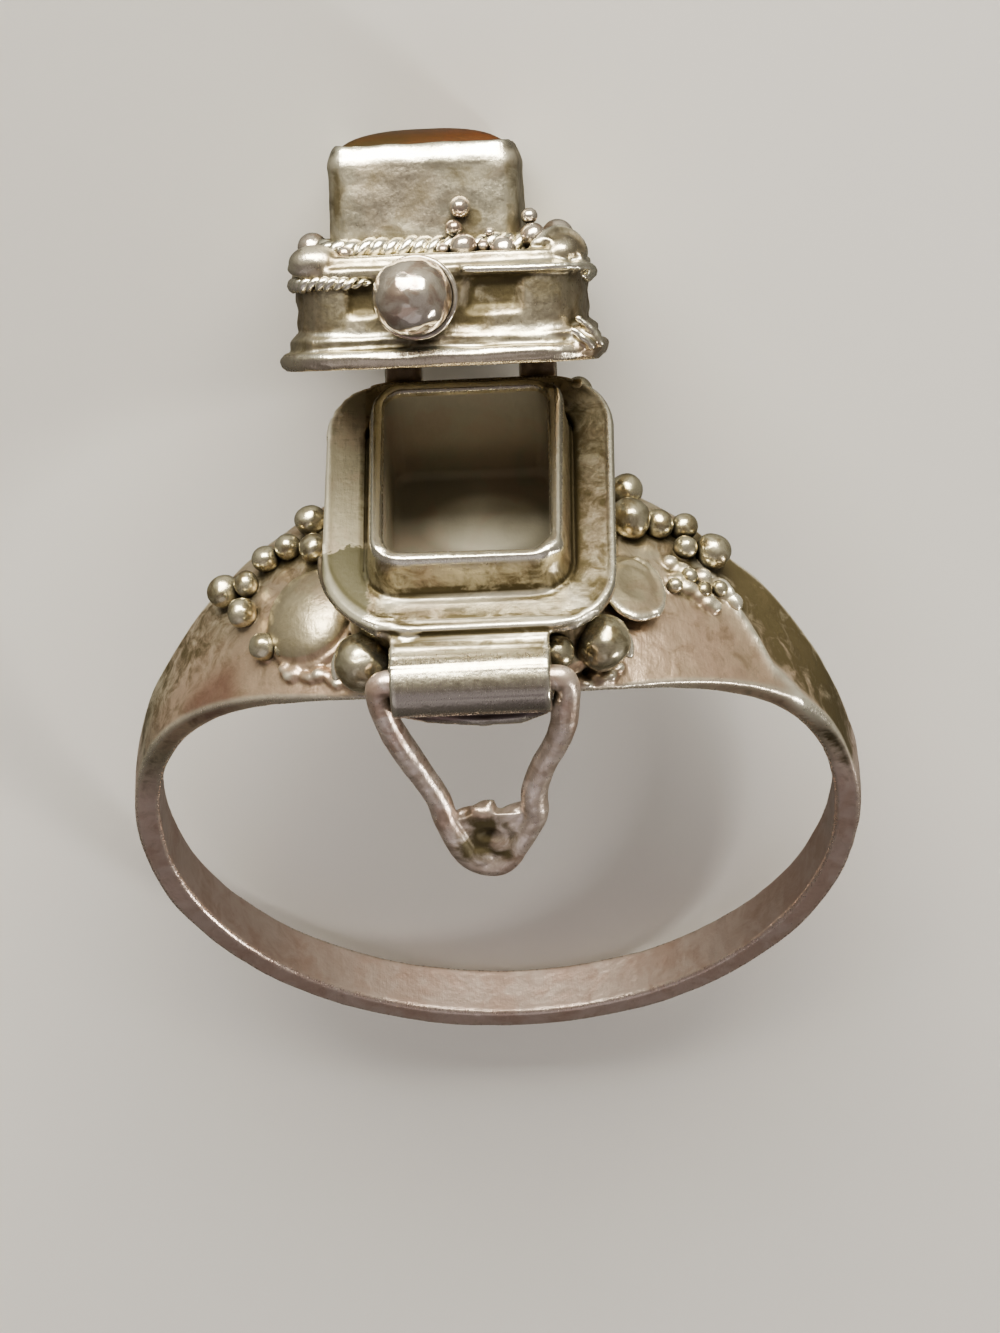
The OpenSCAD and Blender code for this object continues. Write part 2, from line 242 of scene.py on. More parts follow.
def evaluated(obj):
    """A new mesh as the object's modifiers leave it."""
    graph = bpy.context.evaluated_depsgraph_get()
    graph.update()
    return bpy.data.meshes.new_from_object(obj.evaluated_get(graph))


def fused(name, shells, voxel, triangles, rounds, full):
    """One skin over shells that overlap, with small fillets where they meet; it keeps how hollow it is."""
    source = bpy.data.objects.new(name + "_shells", mesh_from(name, shells))
    bpy.context.scene.collection.objects.link(source)
    skin = source.modifiers.new("skin", "REMESH")
    skin.mode, skin.voxel_size, skin.use_smooth_shade = "VOXEL", voxel, True
    softer = source.modifiers.new("soften", "SMOOTH")
    softer.factor, softer.iterations = 0.5, 4
    even = evaluated(source)
    hollows(even, rounds, full)
    source.modifiers.clear()
    rough, source.data = source.data, even
    source.modifiers.new("thin", "DECIMATE").ratio = min(1.0, triangles / (2 * len(even.polygons)))
    mesh = evaluated(source)
    bpy.data.objects.remove(source)
    for spent in (rough, even):
        bpy.data.meshes.remove(spent)
    return mesh


def soft_noise(co, size, seed):
    """Smooth noise from -1 to 1 at each place; size may stretch it along the axes."""
    scaled = co / np.array(size) + (seed, 0, 0)
    return np.array([noise.noise(Vector(p)) for p in scaled.tolist()])


def near(values, low, high, soft):
    """One between low and high, falling to zero over a soft margin."""
    return np.clip(np.minimum(values - low, high - values) / soft + 0.5, 0, 1)


def dented(mesh, depth):
    """Push a dense mesh out along its normals by a function of its places."""
    co = coords(mesh)
    reshaped(mesh, co + directions(mesh) * depth(co)[:, None])


def keep(mesh, name, values):
    """Keep a number at each vertex for the finish to read."""
    kept = mesh.attributes.new(name, "FLOAT", "POINT")
    kept.data.foreach_set("value", np.clip(values, -1, 1).astype(np.float32))


# Rounds that even out the measured hollows, so that no single facet shows
EVENED = 5


def hollows(mesh, rounds, full):
    """Keep how hollow the skin is: above zero in grooves, below on edges, one where it is full deep."""
    edges = np.empty(len(mesh.edges) * 2, np.int32)
    mesh.edges.foreach_get("vertices", edges)
    a, b = edges[0::2], edges[1::2]
    co = coords(mesh).astype(float)
    count = len(co)
    degree = np.maximum(np.bincount(a, minlength=count) + np.bincount(b, minlength=count), 1)

    def spread(values):
        """Each vertex's neighbours' mean."""
        return (np.bincount(a, values[b], count) + np.bincount(b, values[a], count)) / degree

    p = co
    for _ in range(rounds):
        p = np.stack([spread(p[:, k]) for k in range(3)], 1)
    hollow = ((p - co) * directions(mesh)).sum(1) / full
    for _ in range(EVENED):
        hollow = spread(hollow)
    keep(mesh, "hollow", hollow)


def place(name, mesh, matrix, body, slot, finish, replaced=()):
    co = coords(mesh)
    kept = mesh.attributes.new("place", "FLOAT_VECTOR", "POINT")
    kept.data.foreach_set("vector", co.ravel())
    mesh.transform(matrix)
    mesh.polygons.foreach_set("use_smooth", [True] * len(mesh.polygons))
    mesh.materials.clear()
    mesh.materials.append(finish)
    mesh.name = name
    mesh.update()
    piece = bpy.data.objects.new(name, mesh)
    bpy.context.scene.collection.objects.link(piece)
    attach(piece, body)
    if replaced:
        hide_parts(*replaced)


# Finishes

class Value:
    """A shader socket on which Python's operators work."""

    def __init__(self, nodes, socket):
        self.nodes, self.socket = nodes, socket

    def math(self, operation, *values, clamp=False):
        """A Math node on values, of which this is one."""
        node = self.nodes.add("ShaderNodeMath", {"operation": operation, "use_clamp": clamp},
                              dict(enumerate(values)))
        return Value(self.nodes, node.outputs[0])

    def __add__(self, other):
        return self.math("ADD", self, other)

    def __radd__(self, other):
        return self.math("ADD", other, self)

    def __sub__(self, other):
        return self.math("SUBTRACT", self, other)

    def __rsub__(self, other):
        return self.math("SUBTRACT", other, self)

    def __mul__(self, other):
        return self.math("MULTIPLY", self, other)

    def __rmul__(self, other):
        return self.math("MULTIPLY", other, self)

    def clamped(self):
        """Held between zero and one."""
        return self.math("ADD", self, 0.0, clamp=True)

    def between(self, low, high):
        """Zero below low and one above high, smooth between."""
        node = self.nodes.add("ShaderNodeMapRange", {"interpolation_type": "SMOOTHSTEP"},
                              {"Value": self, "From Min": low, "From Max": high})
        return Value(self.nodes, node.outputs[0])


# The Mix node's sockets when it mixes colours
MIX_FACTOR, MIX_FIRST, MIX_SECOND, MIX_RESULT = 0, 6, 7, 2


class Nodes:
    """A node tree whose nodes come from one method."""

    def __init__(self, tree):
        self.tree = tree
        self.tree.nodes.clear()

    def add(self, kind, settings=None, sockets=None):
        """A node of a kind, with its settings made first and its sockets fed next."""
        node = self.tree.nodes.new(kind)
        for key, value in (settings or {}).items():
            setattr(node, key, value)
        self.feed(node, sockets or {})
        return node

    def feed(self, node, sockets):
        """Link a value to each named socket, or set a constant on it."""
        for key, value in sockets.items():
            if isinstance(value, Value):
                self.tree.links.new(value.socket, node.inputs[key])
            else:
                node.inputs[key].default_value = value

    def own_place(self):
        """Each point's place in its piece's own frame, in millimetres."""
        return Value(self, self.add("ShaderNodeAttribute", {"attribute_name": "place"}).outputs["Vector"])

    def object_place(self):
        """Each point's place on an imported solid or the floor, in millimetres."""
        metres = Value(self, self.add("ShaderNodeTexCoord").outputs["Object"])
        return self.stretched(metres, (1 / MM,) * 3)

    def kept(self, name):
        """A number kept at each vertex, zero where there is none."""
        return Value(self, self.add("ShaderNodeAttribute", {"attribute_name": name}).outputs["Fac"])

    def stretched(self, place, scale):
        """A place with each axis scaled."""
        node = self.add("ShaderNodeVectorMath", {"operation": "MULTIPLY"}, {0: place, 1: scale})
        return Value(self, node.outputs[0])

    def parts(self, place):
        """A place's X, Y and Z."""
        node = self.add("ShaderNodeSeparateXYZ", None, {0: place})
        return [Value(self, socket) for socket in node.outputs]

    def noise(self, place, scale, detail=3.0, roughness=0.5, distortion=0.0):
        """Cloudy noise from zero to one, mostly near a half."""
        node = self.add("ShaderNodeTexNoise", None, {"Vector": place, "Scale": scale, "Detail": detail,
                                                     "Roughness": roughness, "Distortion": distortion})
        return Value(self, node.outputs[0])

    def mixed(self, factor, first, second):
        """The first colour where the factor is zero and the second where it is one."""
        node = self.add("ShaderNodeMix", {"data_type": "RGBA"},
                        {MIX_FACTOR: factor, MIX_FIRST: first, MIX_SECOND: second})
        return Value(self, node.outputs[MIX_RESULT])

    def shelter(self, distance):
        """One in the open, less in corners."""
        node = self.add("ShaderNodeAmbientOcclusion", {"samples": 6}, {"Distance": distance * MM})
        return Value(self, node.outputs["AO"])

    def bump(self, height, depth, under=None):
        """A normal for a height map of a depth in millimetres, over another normal where one is given."""
        sockets = {"Height": height, "Strength": 1.0, "Distance": depth * MM}
        if under:
            sockets["Normal"] = under
        return Value(self, self.add("ShaderNodeBump", None, sockets).outputs[0])

    def within(self, parts, low, high, soft):
        """One inside a box of places, falling to zero over a soft margin."""
        mask = None
        for part, a, b in zip(parts, low, high):
            for edge in (part.between(a - soft, a), 1 - part.between(b, b + soft)):
                mask = edge if mask is None else mask * edge
        return mask


class Finish(Nodes):
    """A material round one Principled shader."""

    def __init__(self, name):
        self.material = bpy.data.materials.new(name)
        self.material.use_nodes = True
        super().__init__(self.material.node_tree)
        output = self.add("ShaderNodeOutputMaterial")
        self.shader = self.add("ShaderNodeBsdfPrincipled")
        self.tree.links.new(self.shader.outputs[0], output.inputs[0])


class Skin:
    """What old silver shows at each point, its painted light and shade among it, for a piece's regions to change
    before it is mixed.
    """

    def __init__(self, nodes, colour, matt, blush, dirt, shade, bright):
        self.nodes, self.colour, self.matt = nodes, colour, matt
        self.blush, self.dirt, self.shade, self.bright = blush, dirt, shade, bright

    def paint(self, mask, colour):
        """Bring a colour in where the mask is one."""
        self.colour = self.nodes.mixed(mask, self.colour, colour)


# Silver, from rubbed metal with painted highlights to olive tarnish and near black painted shade, with the copper
# that shows through it
CLEAN = (0.56, 0.505, 0.375, 1)
DULL = (0.34, 0.295, 0.195, 1)
# Rubbed metal, and the colour of painted highlights
RUBBED_AND_HIGHLIGHT = (0.92, 0.88, 0.74, 1)
OLIVE = (0.095, 0.076, 0.038, 1)
# Painted shade, near black, for the deepest corners
SHADE_BLACK = (0.018, 0.013, 0.008, 1)
COPPER = (0.50, 0.335, 0.265, 1)
BLUSH = (0.60, 0.455, 0.335, 1)
RUST = (0.20, 0.085, 0.06, 1)
# The metal of single parts
DISC_GREY = (0.50, 0.44, 0.31, 1)
HOOP_PINK = (0.74, 0.63, 0.59, 1)
# Painted shade on the tube's lower front, a darker mauve
TUBE_SHADE_MAUVE = (0.225, 0.185, 0.178, 1)
BOX_INSIDE = (0.36, 0.335, 0.26, 1)
# A painted pool of light on the compartment's floor and back wall
BOX_LIGHT_POOL = (0.62, 0.59, 0.48, 1)
LEDGE_OLIVE = (0.088, 0.080, 0.045, 1)
LEDGE_BRUSHED = (0.52, 0.48, 0.355, 1)
BEZEL_GREY = (0.50, 0.475, 0.39, 1)
LOOP_PALE = (0.86, 0.75, 0.68, 1)
LOOP_PINK = (0.60, 0.50, 0.42, 1)
GRANULE_LIGHT = (0.70, 0.65, 0.49, 1)
GRANULE_DULL = (0.38, 0.33, 0.20, 1)
CATCH_LIGHT = (0.72, 0.66, 0.58, 1)
CATCH_DULL = (0.55, 0.48, 0.40, 1)
# The stone and the floor
STONE_OLIVE = (0.034, 0.024, 0.008, 1)
STONE_BROWN = (0.078, 0.027, 0.009, 1)
STONE_VEIN = (0.018, 0.008, 0.004, 1)
PAPER_SHADE = (0.76, 0.745, 0.71, 1)
PAPER_LIGHT = (0.80, 0.785, 0.755, 1)


def worn_silver(name, regions=None, imported=False, pink=0.3, grime_and_shade=1.0, rough=0.30, metal=0.96, dents=0.02):
    """Old silver: bright where it is rubbed and where highlights are painted, olive tarnish with painted shade in
    its corners, near black painted shade deepest in them, pink where copper shows.
    """
    f = Finish(name)
    place = f.object_place() if imported else f.own_place()
    broad = f.noise(place, 0.45, 3.0, 0.6, 0.4)
    patches = f.noise(place, 1.5, 5.0, 0.62, 0.8)
    grain = f.noise(place, 8.0, 3.0, 0.65)
    rubbed = f.noise(f.stretched(place, (16.0, 2.2, 4.0)), 1.3, 2.0, 0.6)
    hollow, soot, cream = f.kept("hollow"), f.kept("soot"), f.kept("cream")
    corner = (1 - f.shelter(0.9)).between(0.15, 0.95)
    edge = (0 - hollow).between(0.26, 0.85)
    groove = hollow.between(0.10, 0.6)
    # Olive tarnish mixed with painted shade: darker in the corners that the shelter node finds, in grooves and in
    # patches
    dirt = (corner * 0.8 + groove * 0.7 + (patches - 0.47) * 1.7 + (grain - 0.5) * 0.35) * grime_and_shade
    # Kept marks: cream lightens, with rubbed metal and painted highlights; the other darkens, with tarnish and
    # painted shade
    skin = Skin(f, colour=f.mixed(patches.between(0.38, 0.66), CLEAN, DULL),
                matt=soot * 0.2,
                blush=(broad + (patches - 0.5) * 0.4).between(0.47, 0.62) * pink,
                dirt=(dirt - edge * 0.6 + soot - cream).clamped(),
                shade=(corner * (groove + 0.2) * grime_and_shade).clamped(),
                bright=(edge * 0.8 + cream * 0.9).clamped())
    if regions:
        regions(f, place, skin, patches)
    dirt = skin.dirt.clamped()
    # Copper, then olive tarnish with painted shade, near black painted shade and rubbed metal with painted
    # highlights
    skin.paint(skin.blush.clamped(), COPPER)
    skin.paint(dirt.between(0.0, 0.8), OLIVE)
    skin.paint(skin.shade.clamped(), SHADE_BLACK)
    skin.paint(skin.bright.clamped(), RUBBED_AND_HIGHLIGHT)
    gloss = rough + dirt * 0.2 + (grain - 0.5) * 0.14 + (rubbed - 0.5) * 0.10
    gloss = gloss + skin.matt * 0.2 - edge * 0.08
    normal = f.bump(rubbed, 0.004)
    normal = f.bump(grain, 0.008, normal)
    normal = f.bump(f.noise(place, 2.6, 2.0, 0.5), dents, normal)
    f.feed(f.shader, {"Base Color": skin.colour, "Roughness": gloss.clamped(), "Normal": normal,
                      "Metallic": (metal - dirt * 0.25 - skin.matt).clamped()})
    return f.material


def body_regions(f, place, skin, patches):
    """Where the ring's body is pink, tarnished and rubbed, with its painted light and shade: its shank, the tube's
    lower front, its box and its ledge.
    """
    parts = f.parts(place)
    shank_regions(f, parts, skin, patches)
    # Painted shade: the tube's lower front is painted a darker mauve, with less tarnish
    tube = f.within(parts, (-2.2, -6.2, 10.0), (2.2, -5.45, 11.62), 0.22)
    skin.paint(tube, TUBE_SHADE_MAUVE)
    skin.dirt *= 1 - tube * 0.6
    compartment_regions(f, parts, skin, patches)
    ledge_regions(f, place, parts, skin, patches)


def shank_regions(f, parts, skin, patches):
    """Pale pink shoulders with greyer discs, a pink hoop with a cleaner bore, and a rusty spot."""
    x, y, z = parts
    from_axis = x * x + z * z
    over_face = from_axis.between((SHANK_R + 0.09) ** 2, (SHANK_R + 0.16) ** 2)
    bore = 1 - from_axis.between((HOLE_R + 0.05) ** 2, (HOLE_R + 0.16) ** 2)
    head = f.within(parts, (-2.6, -7, 9.0), (2.6, 7, 12.0), 0.3)
    discs = over_face * (1 - z.between(10.9, 11.2)) * (1 - head)
    shoulder = z.between(3.0, 5.5) * (1 - z.between(9.7, 10.2)) * (1 - over_face)
    front = 1 - y.between(-1.4, 1.2)
    hoop = 1 - z.between(1.0, 4.0)
    mottle = patches.between(0.30, 0.70)
    spot = f.within(parts, (-7.9, -2.7, 6.2), (-6.9, -1.5, 7.6), 0.8)
    skin.paint((shoulder * front * (1 - mottle * 0.5)).clamped(), BLUSH)
    skin.paint(discs * 0.7, DISC_GREY)
    skin.paint(hoop * 0.8, HOOP_PINK)
    skin.paint((spot * (patches * 1.5)).clamped(), RUST)
    skin.dirt = skin.dirt * (1 - shoulder * front * 0.5 - hoop * 0.3) + shoulder * mottle * 0.20
    skin.dirt *= 1 - discs * 0.2
    skin.dirt *= 1 - bore * 0.65
    skin.blush += shoulder * (patches - 0.3) * 0.8 + hoop * (patches * 0.7)
    skin.matt += shoulder * 0.13 + hoop * 0.16 + discs * 0.12
    skin.bright *= 1 - hoop * 0.75


def compartment_regions(f, parts, skin, patches):
    """Clean and matt inside, with little of the corners' painted shade, and a painted pool of light in the middle
    of the floor and at the top of the back wall.
    """
    x, y, z = parts
    half_x, half_y, margin = BIN[0] / 2, BIN[1] / 2, 0.04
    inside = f.within(parts, (-half_x - margin, -half_y - margin, BIN_FLOOR_Z - 0.1),
                      (half_x + margin, half_y + margin, COLLAR_TOP - 0.21), 0.05)
    across, along = (x - 0.3) * 0.62, (y - 0.95) * 0.95
    floor = 1 - (across * across + along * along).between(0.55, 1.25)
    floor *= 1 - z.between(BIN_FLOOR_Z + 0.1, BIN_FLOOR_Z + 0.3)
    back = z.between(10.9, 11.9) * y.between(2.2, 2.6) * (1 - (x * x).between(2.0, 4.4))
    # Painted light: a pool of light in the middle of the floor and along the top of the back wall
    light_pool = inside * ((floor * 0.9 + back * 0.8) * (0.55 + patches * 0.7))
    skin.paint(inside, BOX_INSIDE)
    skin.paint(light_pool.clamped(), BOX_LIGHT_POOL)
    skin.dirt *= 1 - inside * 0.95
    skin.shade *= 1 - inside * 0.92
    skin.matt += inside * 0.9


def ledge_regions(f, place, parts, skin, patches):
    """An olive patch at the ledge's front left, hatched strokes behind it and streaks along its front."""
    x, y, z = parts
    top = z.between(RIM_Z - 0.22, RIM_Z - 0.12) * (1 - z.between(RIM_Z + 0.08, RIM_Z + 0.18))
    behind = (y + (patches - 0.5) * 1.3).between(-1.55, -1.4)
    patch = top * (1 - (x + (patches - 0.5) * 1.1).between(-2.62, -2.5)) * (1 - behind)
    skin.paint(patch, LEDGE_OLIVE)
    skin.blush *= 1 - patch
    skin.dirt *= 1 - patch * 0.9
    skin.matt += patch * 0.8
    skin.bright *= 1 - patch * 0.7
    left = top * (1 - x.between(-2.75, -2.7)) * behind
    across = f.noise(f.stretched(place, (7.0, 1.0, 1.0)), 1.0, 3.0, 0.6)
    along = f.noise(f.stretched(place, (1.2, 6.0, 1.0)), 1.0, 3.0, 0.6)
    hatch = (across * 0.5 + along * 0.5).between(0.48, 0.60)
    skin.paint(left, LEDGE_BRUSHED)
    skin.dirt = skin.dirt * (1 - left * 0.8) + left * hatch * 0.28
    front = f.within(parts, (-2.3, -4.2, RIM_Z - 0.17), (3.0, -3.2, RIM_Z + 0.23), 0.12)
    streaks = f.noise(f.stretched(place, (0.9, 5.0, 1.0)), 1.1, 4.0, 0.6).between(0.46, 0.60)
    skin.matt += left * 0.32 + front * 0.1
    skin.dirt += front * streaks * 0.5


def lid_regions(f, place, skin, patches):
    """The lid's flange is pinker than the rest, the recesses darkened with painted shade and the bezel's wall
    greyer.
    """
    parts = f.parts(place)
    flange = 1 - parts[2].between(0.38, 0.46)
    recess = f.within(parts, (-2.4, -4.2, 1.15), (2.25, -3.0, 2.2), 0.12)
    wall = parts[2].between(2.95, 3.2)
    skin.paint(flange * 0.5, BLUSH)
    skin.paint(wall * 0.5, BEZEL_GREY)
    # Painted shade in the recesses beside the catch ball, which also lose their rubbed brightness
    skin.dirt = skin.dirt * (1 - flange * 0.6) + recess * 0.12
    skin.dirt *= 1 - wall * 0.35
    skin.bright *= 1 - recess * 0.75


def latch_regions(f, place, skin, patches):
    """The loop's metal: paler and pinker than the rest, and duller."""
    skin.colour = f.mixed(patches.between(0.36, 0.6), LOOP_PALE, LOOP_PINK)
    skin.matt += 0.12


def polished_granule(name, light=GRANULE_LIGHT, dull=GRANULE_DULL, pink=0.15, rough=0.22):
    """The soldered balls: bright as a mirror on top, olive tarnish with painted shade where they meet and near
    black painted shade deepest there.
    """
    f = Finish(name)
    place = f.own_place()
    clouds = f.noise(place, 1.9, 3.0, 0.6, 0.5)
    grain = f.noise(place, 7.0, 3.0, 0.6)
    corner = (1 - f.shelter(0.6)).between(0.12, 0.85)
    colour = f.mixed(clouds.between(0.4, 0.65), light, dull)
    colour = f.mixed(clouds.between(0.50, 0.62) * pink, colour, COPPER)
    # Painted shade where the balls meet: olive, then near black in the deepest corners
    colour = f.mixed(corner, colour, OLIVE)
    colour = f.mixed(corner.between(0.6, 1.0), colour, SHADE_BLACK)
    gloss = rough + (grain - 0.5) * 0.12 + corner * 0.25
    normal = f.bump(grain, 0.006)
    normal = f.bump(f.noise(place, 2.4, 1.0, 0.5), 0.05, normal)
    f.feed(f.shader, {"Base Color": colour, "Roughness": gloss.clamped(), "Metallic": 0.9 - corner * 0.3,
                      "Normal": normal})
    return f.material


def cabochon_stone(name):
    """Polished banded stone: orange-brown with olive clouds and dark veins."""
    f = Finish(name)
    place = f.own_place()
    clouds = f.noise(place, 0.7, 5.0, 0.6, 1.2)
    veins = f.noise(f.stretched(place, (1.0, 2.4, 3.0)), 1.4, 6.0, 0.65, 2.0)
    across = f.parts(place)[0]
    warm = (across * 0.25 + clouds * 1.2 - 0.05).clamped()
    colour = f.mixed(warm, STONE_OLIVE, STONE_BROWN)
    colour = f.mixed(veins.between(0.55, 0.72) * 0.8, colour, STONE_VEIN)
    f.feed(f.shader, {"Base Color": colour, "Roughness": 0.16 + veins * 0.1, "IOR": 1.48,
                      "Coat Weight": 0.25, "Coat Roughness": 0.08, "Normal": f.bump(clouds, 0.01)})
    return f.material


def pale_paper(name):
    """The floor: matt and pale, with the faintest mottle."""
    f = Finish(name)
    mottle = f.noise(f.object_place(), 0.02, 4.0, 0.6)
    f.feed(f.shader, {"Base Color": f.mixed(mottle, PAPER_SHADE, PAPER_LIGHT), "Roughness": 0.9})
    return f.material


# The ring's body

def half_width(z):
    """Half the shank's width at a height."""
    if z < FLARE_Z:
        return SHANK_HALF_W
    return min(SHOULDER_HALF_W, SHANK_HALF_W + FLARE_R - math.sqrt(FLARE_R ** 2 - (z - FLARE_Z) ** 2))


def face_r(y):
    """Outer radius of the crowned shank at a place along the finger."""
    return SHANK_R - CROWN_R + math.sqrt(CROWN_R ** 2 - y * y)


def on_shank(angle, y, lift):
    """A place over the shank's face: degrees from the top, distance along the finger, height over it."""
    a = math.radians(angle)
    r = face_r(y) + lift
    return np.array((r * math.sin(a), y, r * math.cos(a)))


def shank():
    """Hoop with a crowned face and soft edges, no thinner than a worn edge."""
    rings, thin, edge = [], 0.26, 0.09
    for t in around(360):
        w = half_width(SHANK_R * math.cos(t))
        section = [(y, max(face_r(y), HOLE_R + thin)) for y in np.linspace(-w + edge, w - edge, 15)]
        outer = section[-1][1]
        section += [(w - edge * 0.3, outer - edge * 0.3), (w, outer - edge), (w, HOLE_R + edge)]
        section += [(y, HOLE_R) for y in np.linspace(w - edge, -w + edge, 15)]
        section += [(-w, HOLE_R + edge), (-w, outer - edge), (-w + edge * 0.3, outer - edge * 0.3)]
        rings.append(np.array([(r * math.sin(t), y, r * math.cos(t)) for y, r in section]))
    return loft(rings, closed=True)


def foot_groove(size, depth):
    """Ring round the collar's foot, sunk at its sides but hardly at its front."""
    ring = cushion(size, 0)
    ring[:, 2] = RIM_Z - 0.03 - depth * np.clip((ring[:, 1] + 2.8) / 0.9, 0.06, 1)
    return ring


def box():
    """Wall, overhanging ledge, collar with a groove beside its foot and the open compartment."""
    foot = cushion(WALL, 0)
    foot[:, 2] = np.sqrt((HOLE_R + 0.4) ** 2 - foot[:, 0] ** 2)
    collar = grown(BIN, COLLAR_T)
    return loft([
        foot, cushion(WALL, RIM_Z - 0.50), cushion(grown(LEDGE, -0.10), RIM_Z - 0.44),
        cushion(LEDGE, RIM_Z - 0.36), cushion(LEDGE, RIM_Z - 0.09),
        cushion(grown(LEDGE, -0.05), RIM_Z - 0.02),
        cushion(grown(LEDGE, -0.14), RIM_Z), cushion(grown(LEDGE, -0.24), RIM_Z - 0.03),
        foot_groove(grown(collar, 0.20), 0.0), foot_groove(grown(collar, 0.16), 0.2),
        foot_groove(grown(collar, 0.07), 0.2), cushion(grown(collar, 0.04), RIM_Z + 0.06),
        cushion(grown(collar, -0.10), COLLAR_TOP - 0.12), cushion(grown(collar, -0.17), COLLAR_TOP),
        cushion(grown(BIN, 0.07), COLLAR_TOP), cushion(BIN, COLLAR_TOP - 0.1),
        cushion(BIN, BIN_FLOOR_Z + 0.15), cushion(grown(BIN, -0.15), BIN_FLOOR_Z)])


def latch_tube():
    """The tube, the strap that bends from its top to the wall, and the tongue plate under it."""
    strap_top = TUBE_Z + TUBE_R
    back = -WALL[1] / 2 + 0.3
    bent = [(TUBE_LEFT, TUBE_Y), (TUBE_RIGHT, TUBE_Y), (TUBE_RIGHT - 0.05, back), (TUBE_LEFT + 0.05, back)]
    strap = slab(bent, strap_top - 0.42, strap_top - 0.02)
    front = [(-1.95, -5.28), (-1.2, -5.52), (0.2, -5.66), (1.2, -5.62), (1.9, -5.34)]
    tongue = slab(front + [(1.9, back), (-1.95, back)], 10.06, 10.33)
    return [pipe(TUBE_LEFT, TUBE_RIGHT, TUBE_Y, TUBE_Z, TUBE_R, BORE_R), strap, tongue]


def hinge_middle():
    """The middle knuckle and the plate that carries it under the ledge's back."""
    half, front, back = 1.2, 3.45, HINGE_Y - 0.3
    plate = [(-half, front), (half, front), (half, back), (-half, back)]
    return [pipe(-half, half, HINGE_Y, HINGE_Z, KNUCKLE_R, PIN_HOLE_R),
            slab(plate, HINGE_Z - 0.4, RIM_Z - 0.4)]


# Soldered granules on each shoulder: angle from the top, place along the finger, radius
LEFT_GRANULES = [
    (-26.1, 2.41, 0.44), (-25.0, 1.25, 0.41), (-29.8, 1.74, 0.36), (-33.9, 1.64, 0.38), (-37.4, 1.08, 0.36),
    (-41.9, 1.24, 0.45), (-37.6, 0.05, 0.40), (-33.8, -1.44, 0.39), (-30.6, -1.7, 0.2),
]
RIGHT_GRANULES = [
    (23.4, 2.90, 0.46), (23.2, 1.68, 0.56), (28.3, 1.91, 0.39), (32.7, 2.12, 0.38), (32.7, 1.35, 0.33),
    (37.1, 1.50, 0.49), (33.1, 0.40, 0.24), (35.7, 0.08, 0.24), (30.5, -0.12, 0.22), (38.6, 0.39, 0.22),
]
# Balls at the box's front corners: place and radius
CORNER_BALLS = [((-2.83, -3.60, 10.32), 0.78), ((3.27, -3.12, 10.17), 0.75), ((2.13, -3.92, 10.80), 0.46)]
LEDGE_BALL = ((2.84, 3.96, 12.03), 0.36)
# Rows of half-melted beads: angle and place of either end, and how many
BEAD_ROWS = [
    ((-30.5, -2.3), (-18, -3.45), 12), ((13, -3.8), (22, -3.1), 8),
    ((30.0, 0.75), (41.5, 0.35), 12), ((30.8, 0.2), (38, -0.2), 8),
]
BEAD_R = 0.2


def bead_row(first, last, count, rng):
    """Tiny uneven beads along a shoulder, from one place to another."""
    shells = []
    for t in np.linspace(0, 1, count):
        at = np.array(first) * (1 - t) + np.array(last) * t + rng.uniform(-1, 1, 2) * (0.5, 0.1)
        size = BEAD_R * rng.uniform(0.65, 1.15)
        shells.append(ball(on_shank(*at, size * 0.15), size, (1.25, 1.1, 0.8), n=9))
    return shells


def melted_beads():
    """Rows of half-melted beads on both shoulders."""
    rng = np.random.default_rng(7)
    shells = []
    for first, last, count in BEAD_ROWS:
        shells += bead_row(first, last, count, rng)
    return shells


def granules():
    """Soldered granules and balls of the ring's body, each a little uneven."""
    shells = [ball(on_shank(angle, y, r * 0.7), r, n=16) for angle, y, r in LEFT_GRANULES + RIGHT_GRANULES]
    shells += [ball(centre, r, n=26) for centre, r in CORNER_BALLS + [LEDGE_BALL]]
    mesh = mesh_from("granules", shells)
    dented(mesh, lambda co: 0.05 * soft_noise(co, 0.6, 2.2))
    place("granules", mesh, RING, "ring", "ring_silver", polished_granule("granule silver"))


def dome(angle, y, size, lifts, tilt=0.0, n=40):
    """Disc on the shank: rings by share of its half sizes and height over the face; its front tilts up."""
    rings, u = [], around(n)
    for share, lift in lifts:
        across, along = size[0] * share * np.cos(u), size[1] * share * np.sin(u)
        rings.append(np.array([on_shank(angle + math.degrees(a / SHANK_R), y + b, lift - tilt * b)
                               for a, b in zip(across, along)]))
    return loft(rings)


def left_disc():
    """Domed disc beside the box with a lip at its foot, and two rim wires along the ledge's corner."""
    lip, rise = 0.14, 0.56
    profile = [(1.02, -0.3), (1.06, 0.02), (1.04, lip), (0.98, lip + 0.04), (0.95, lip)]
    profile += [(0.95 * math.cos(t), lip + rise * math.sin(t)) for t in np.linspace(0.1, 1.5, 12)]
    shells = [dome(-25.5, -0.95, (1.33, 1.5), profile)]
    corner = [(-3.75, -1.3), (-3.66, -2.2), (-3.28, -3.0), (-2.85, -3.5), (-2.2, -4.0), (-1.5, -4.3)]
    for z, out, r in ((12.33, -0.02, 0.07), (12.02, 0.12, 0.08)):
        shells.append(wire([(x - out, y - out, z) for x, y in corner], r))
    return shells


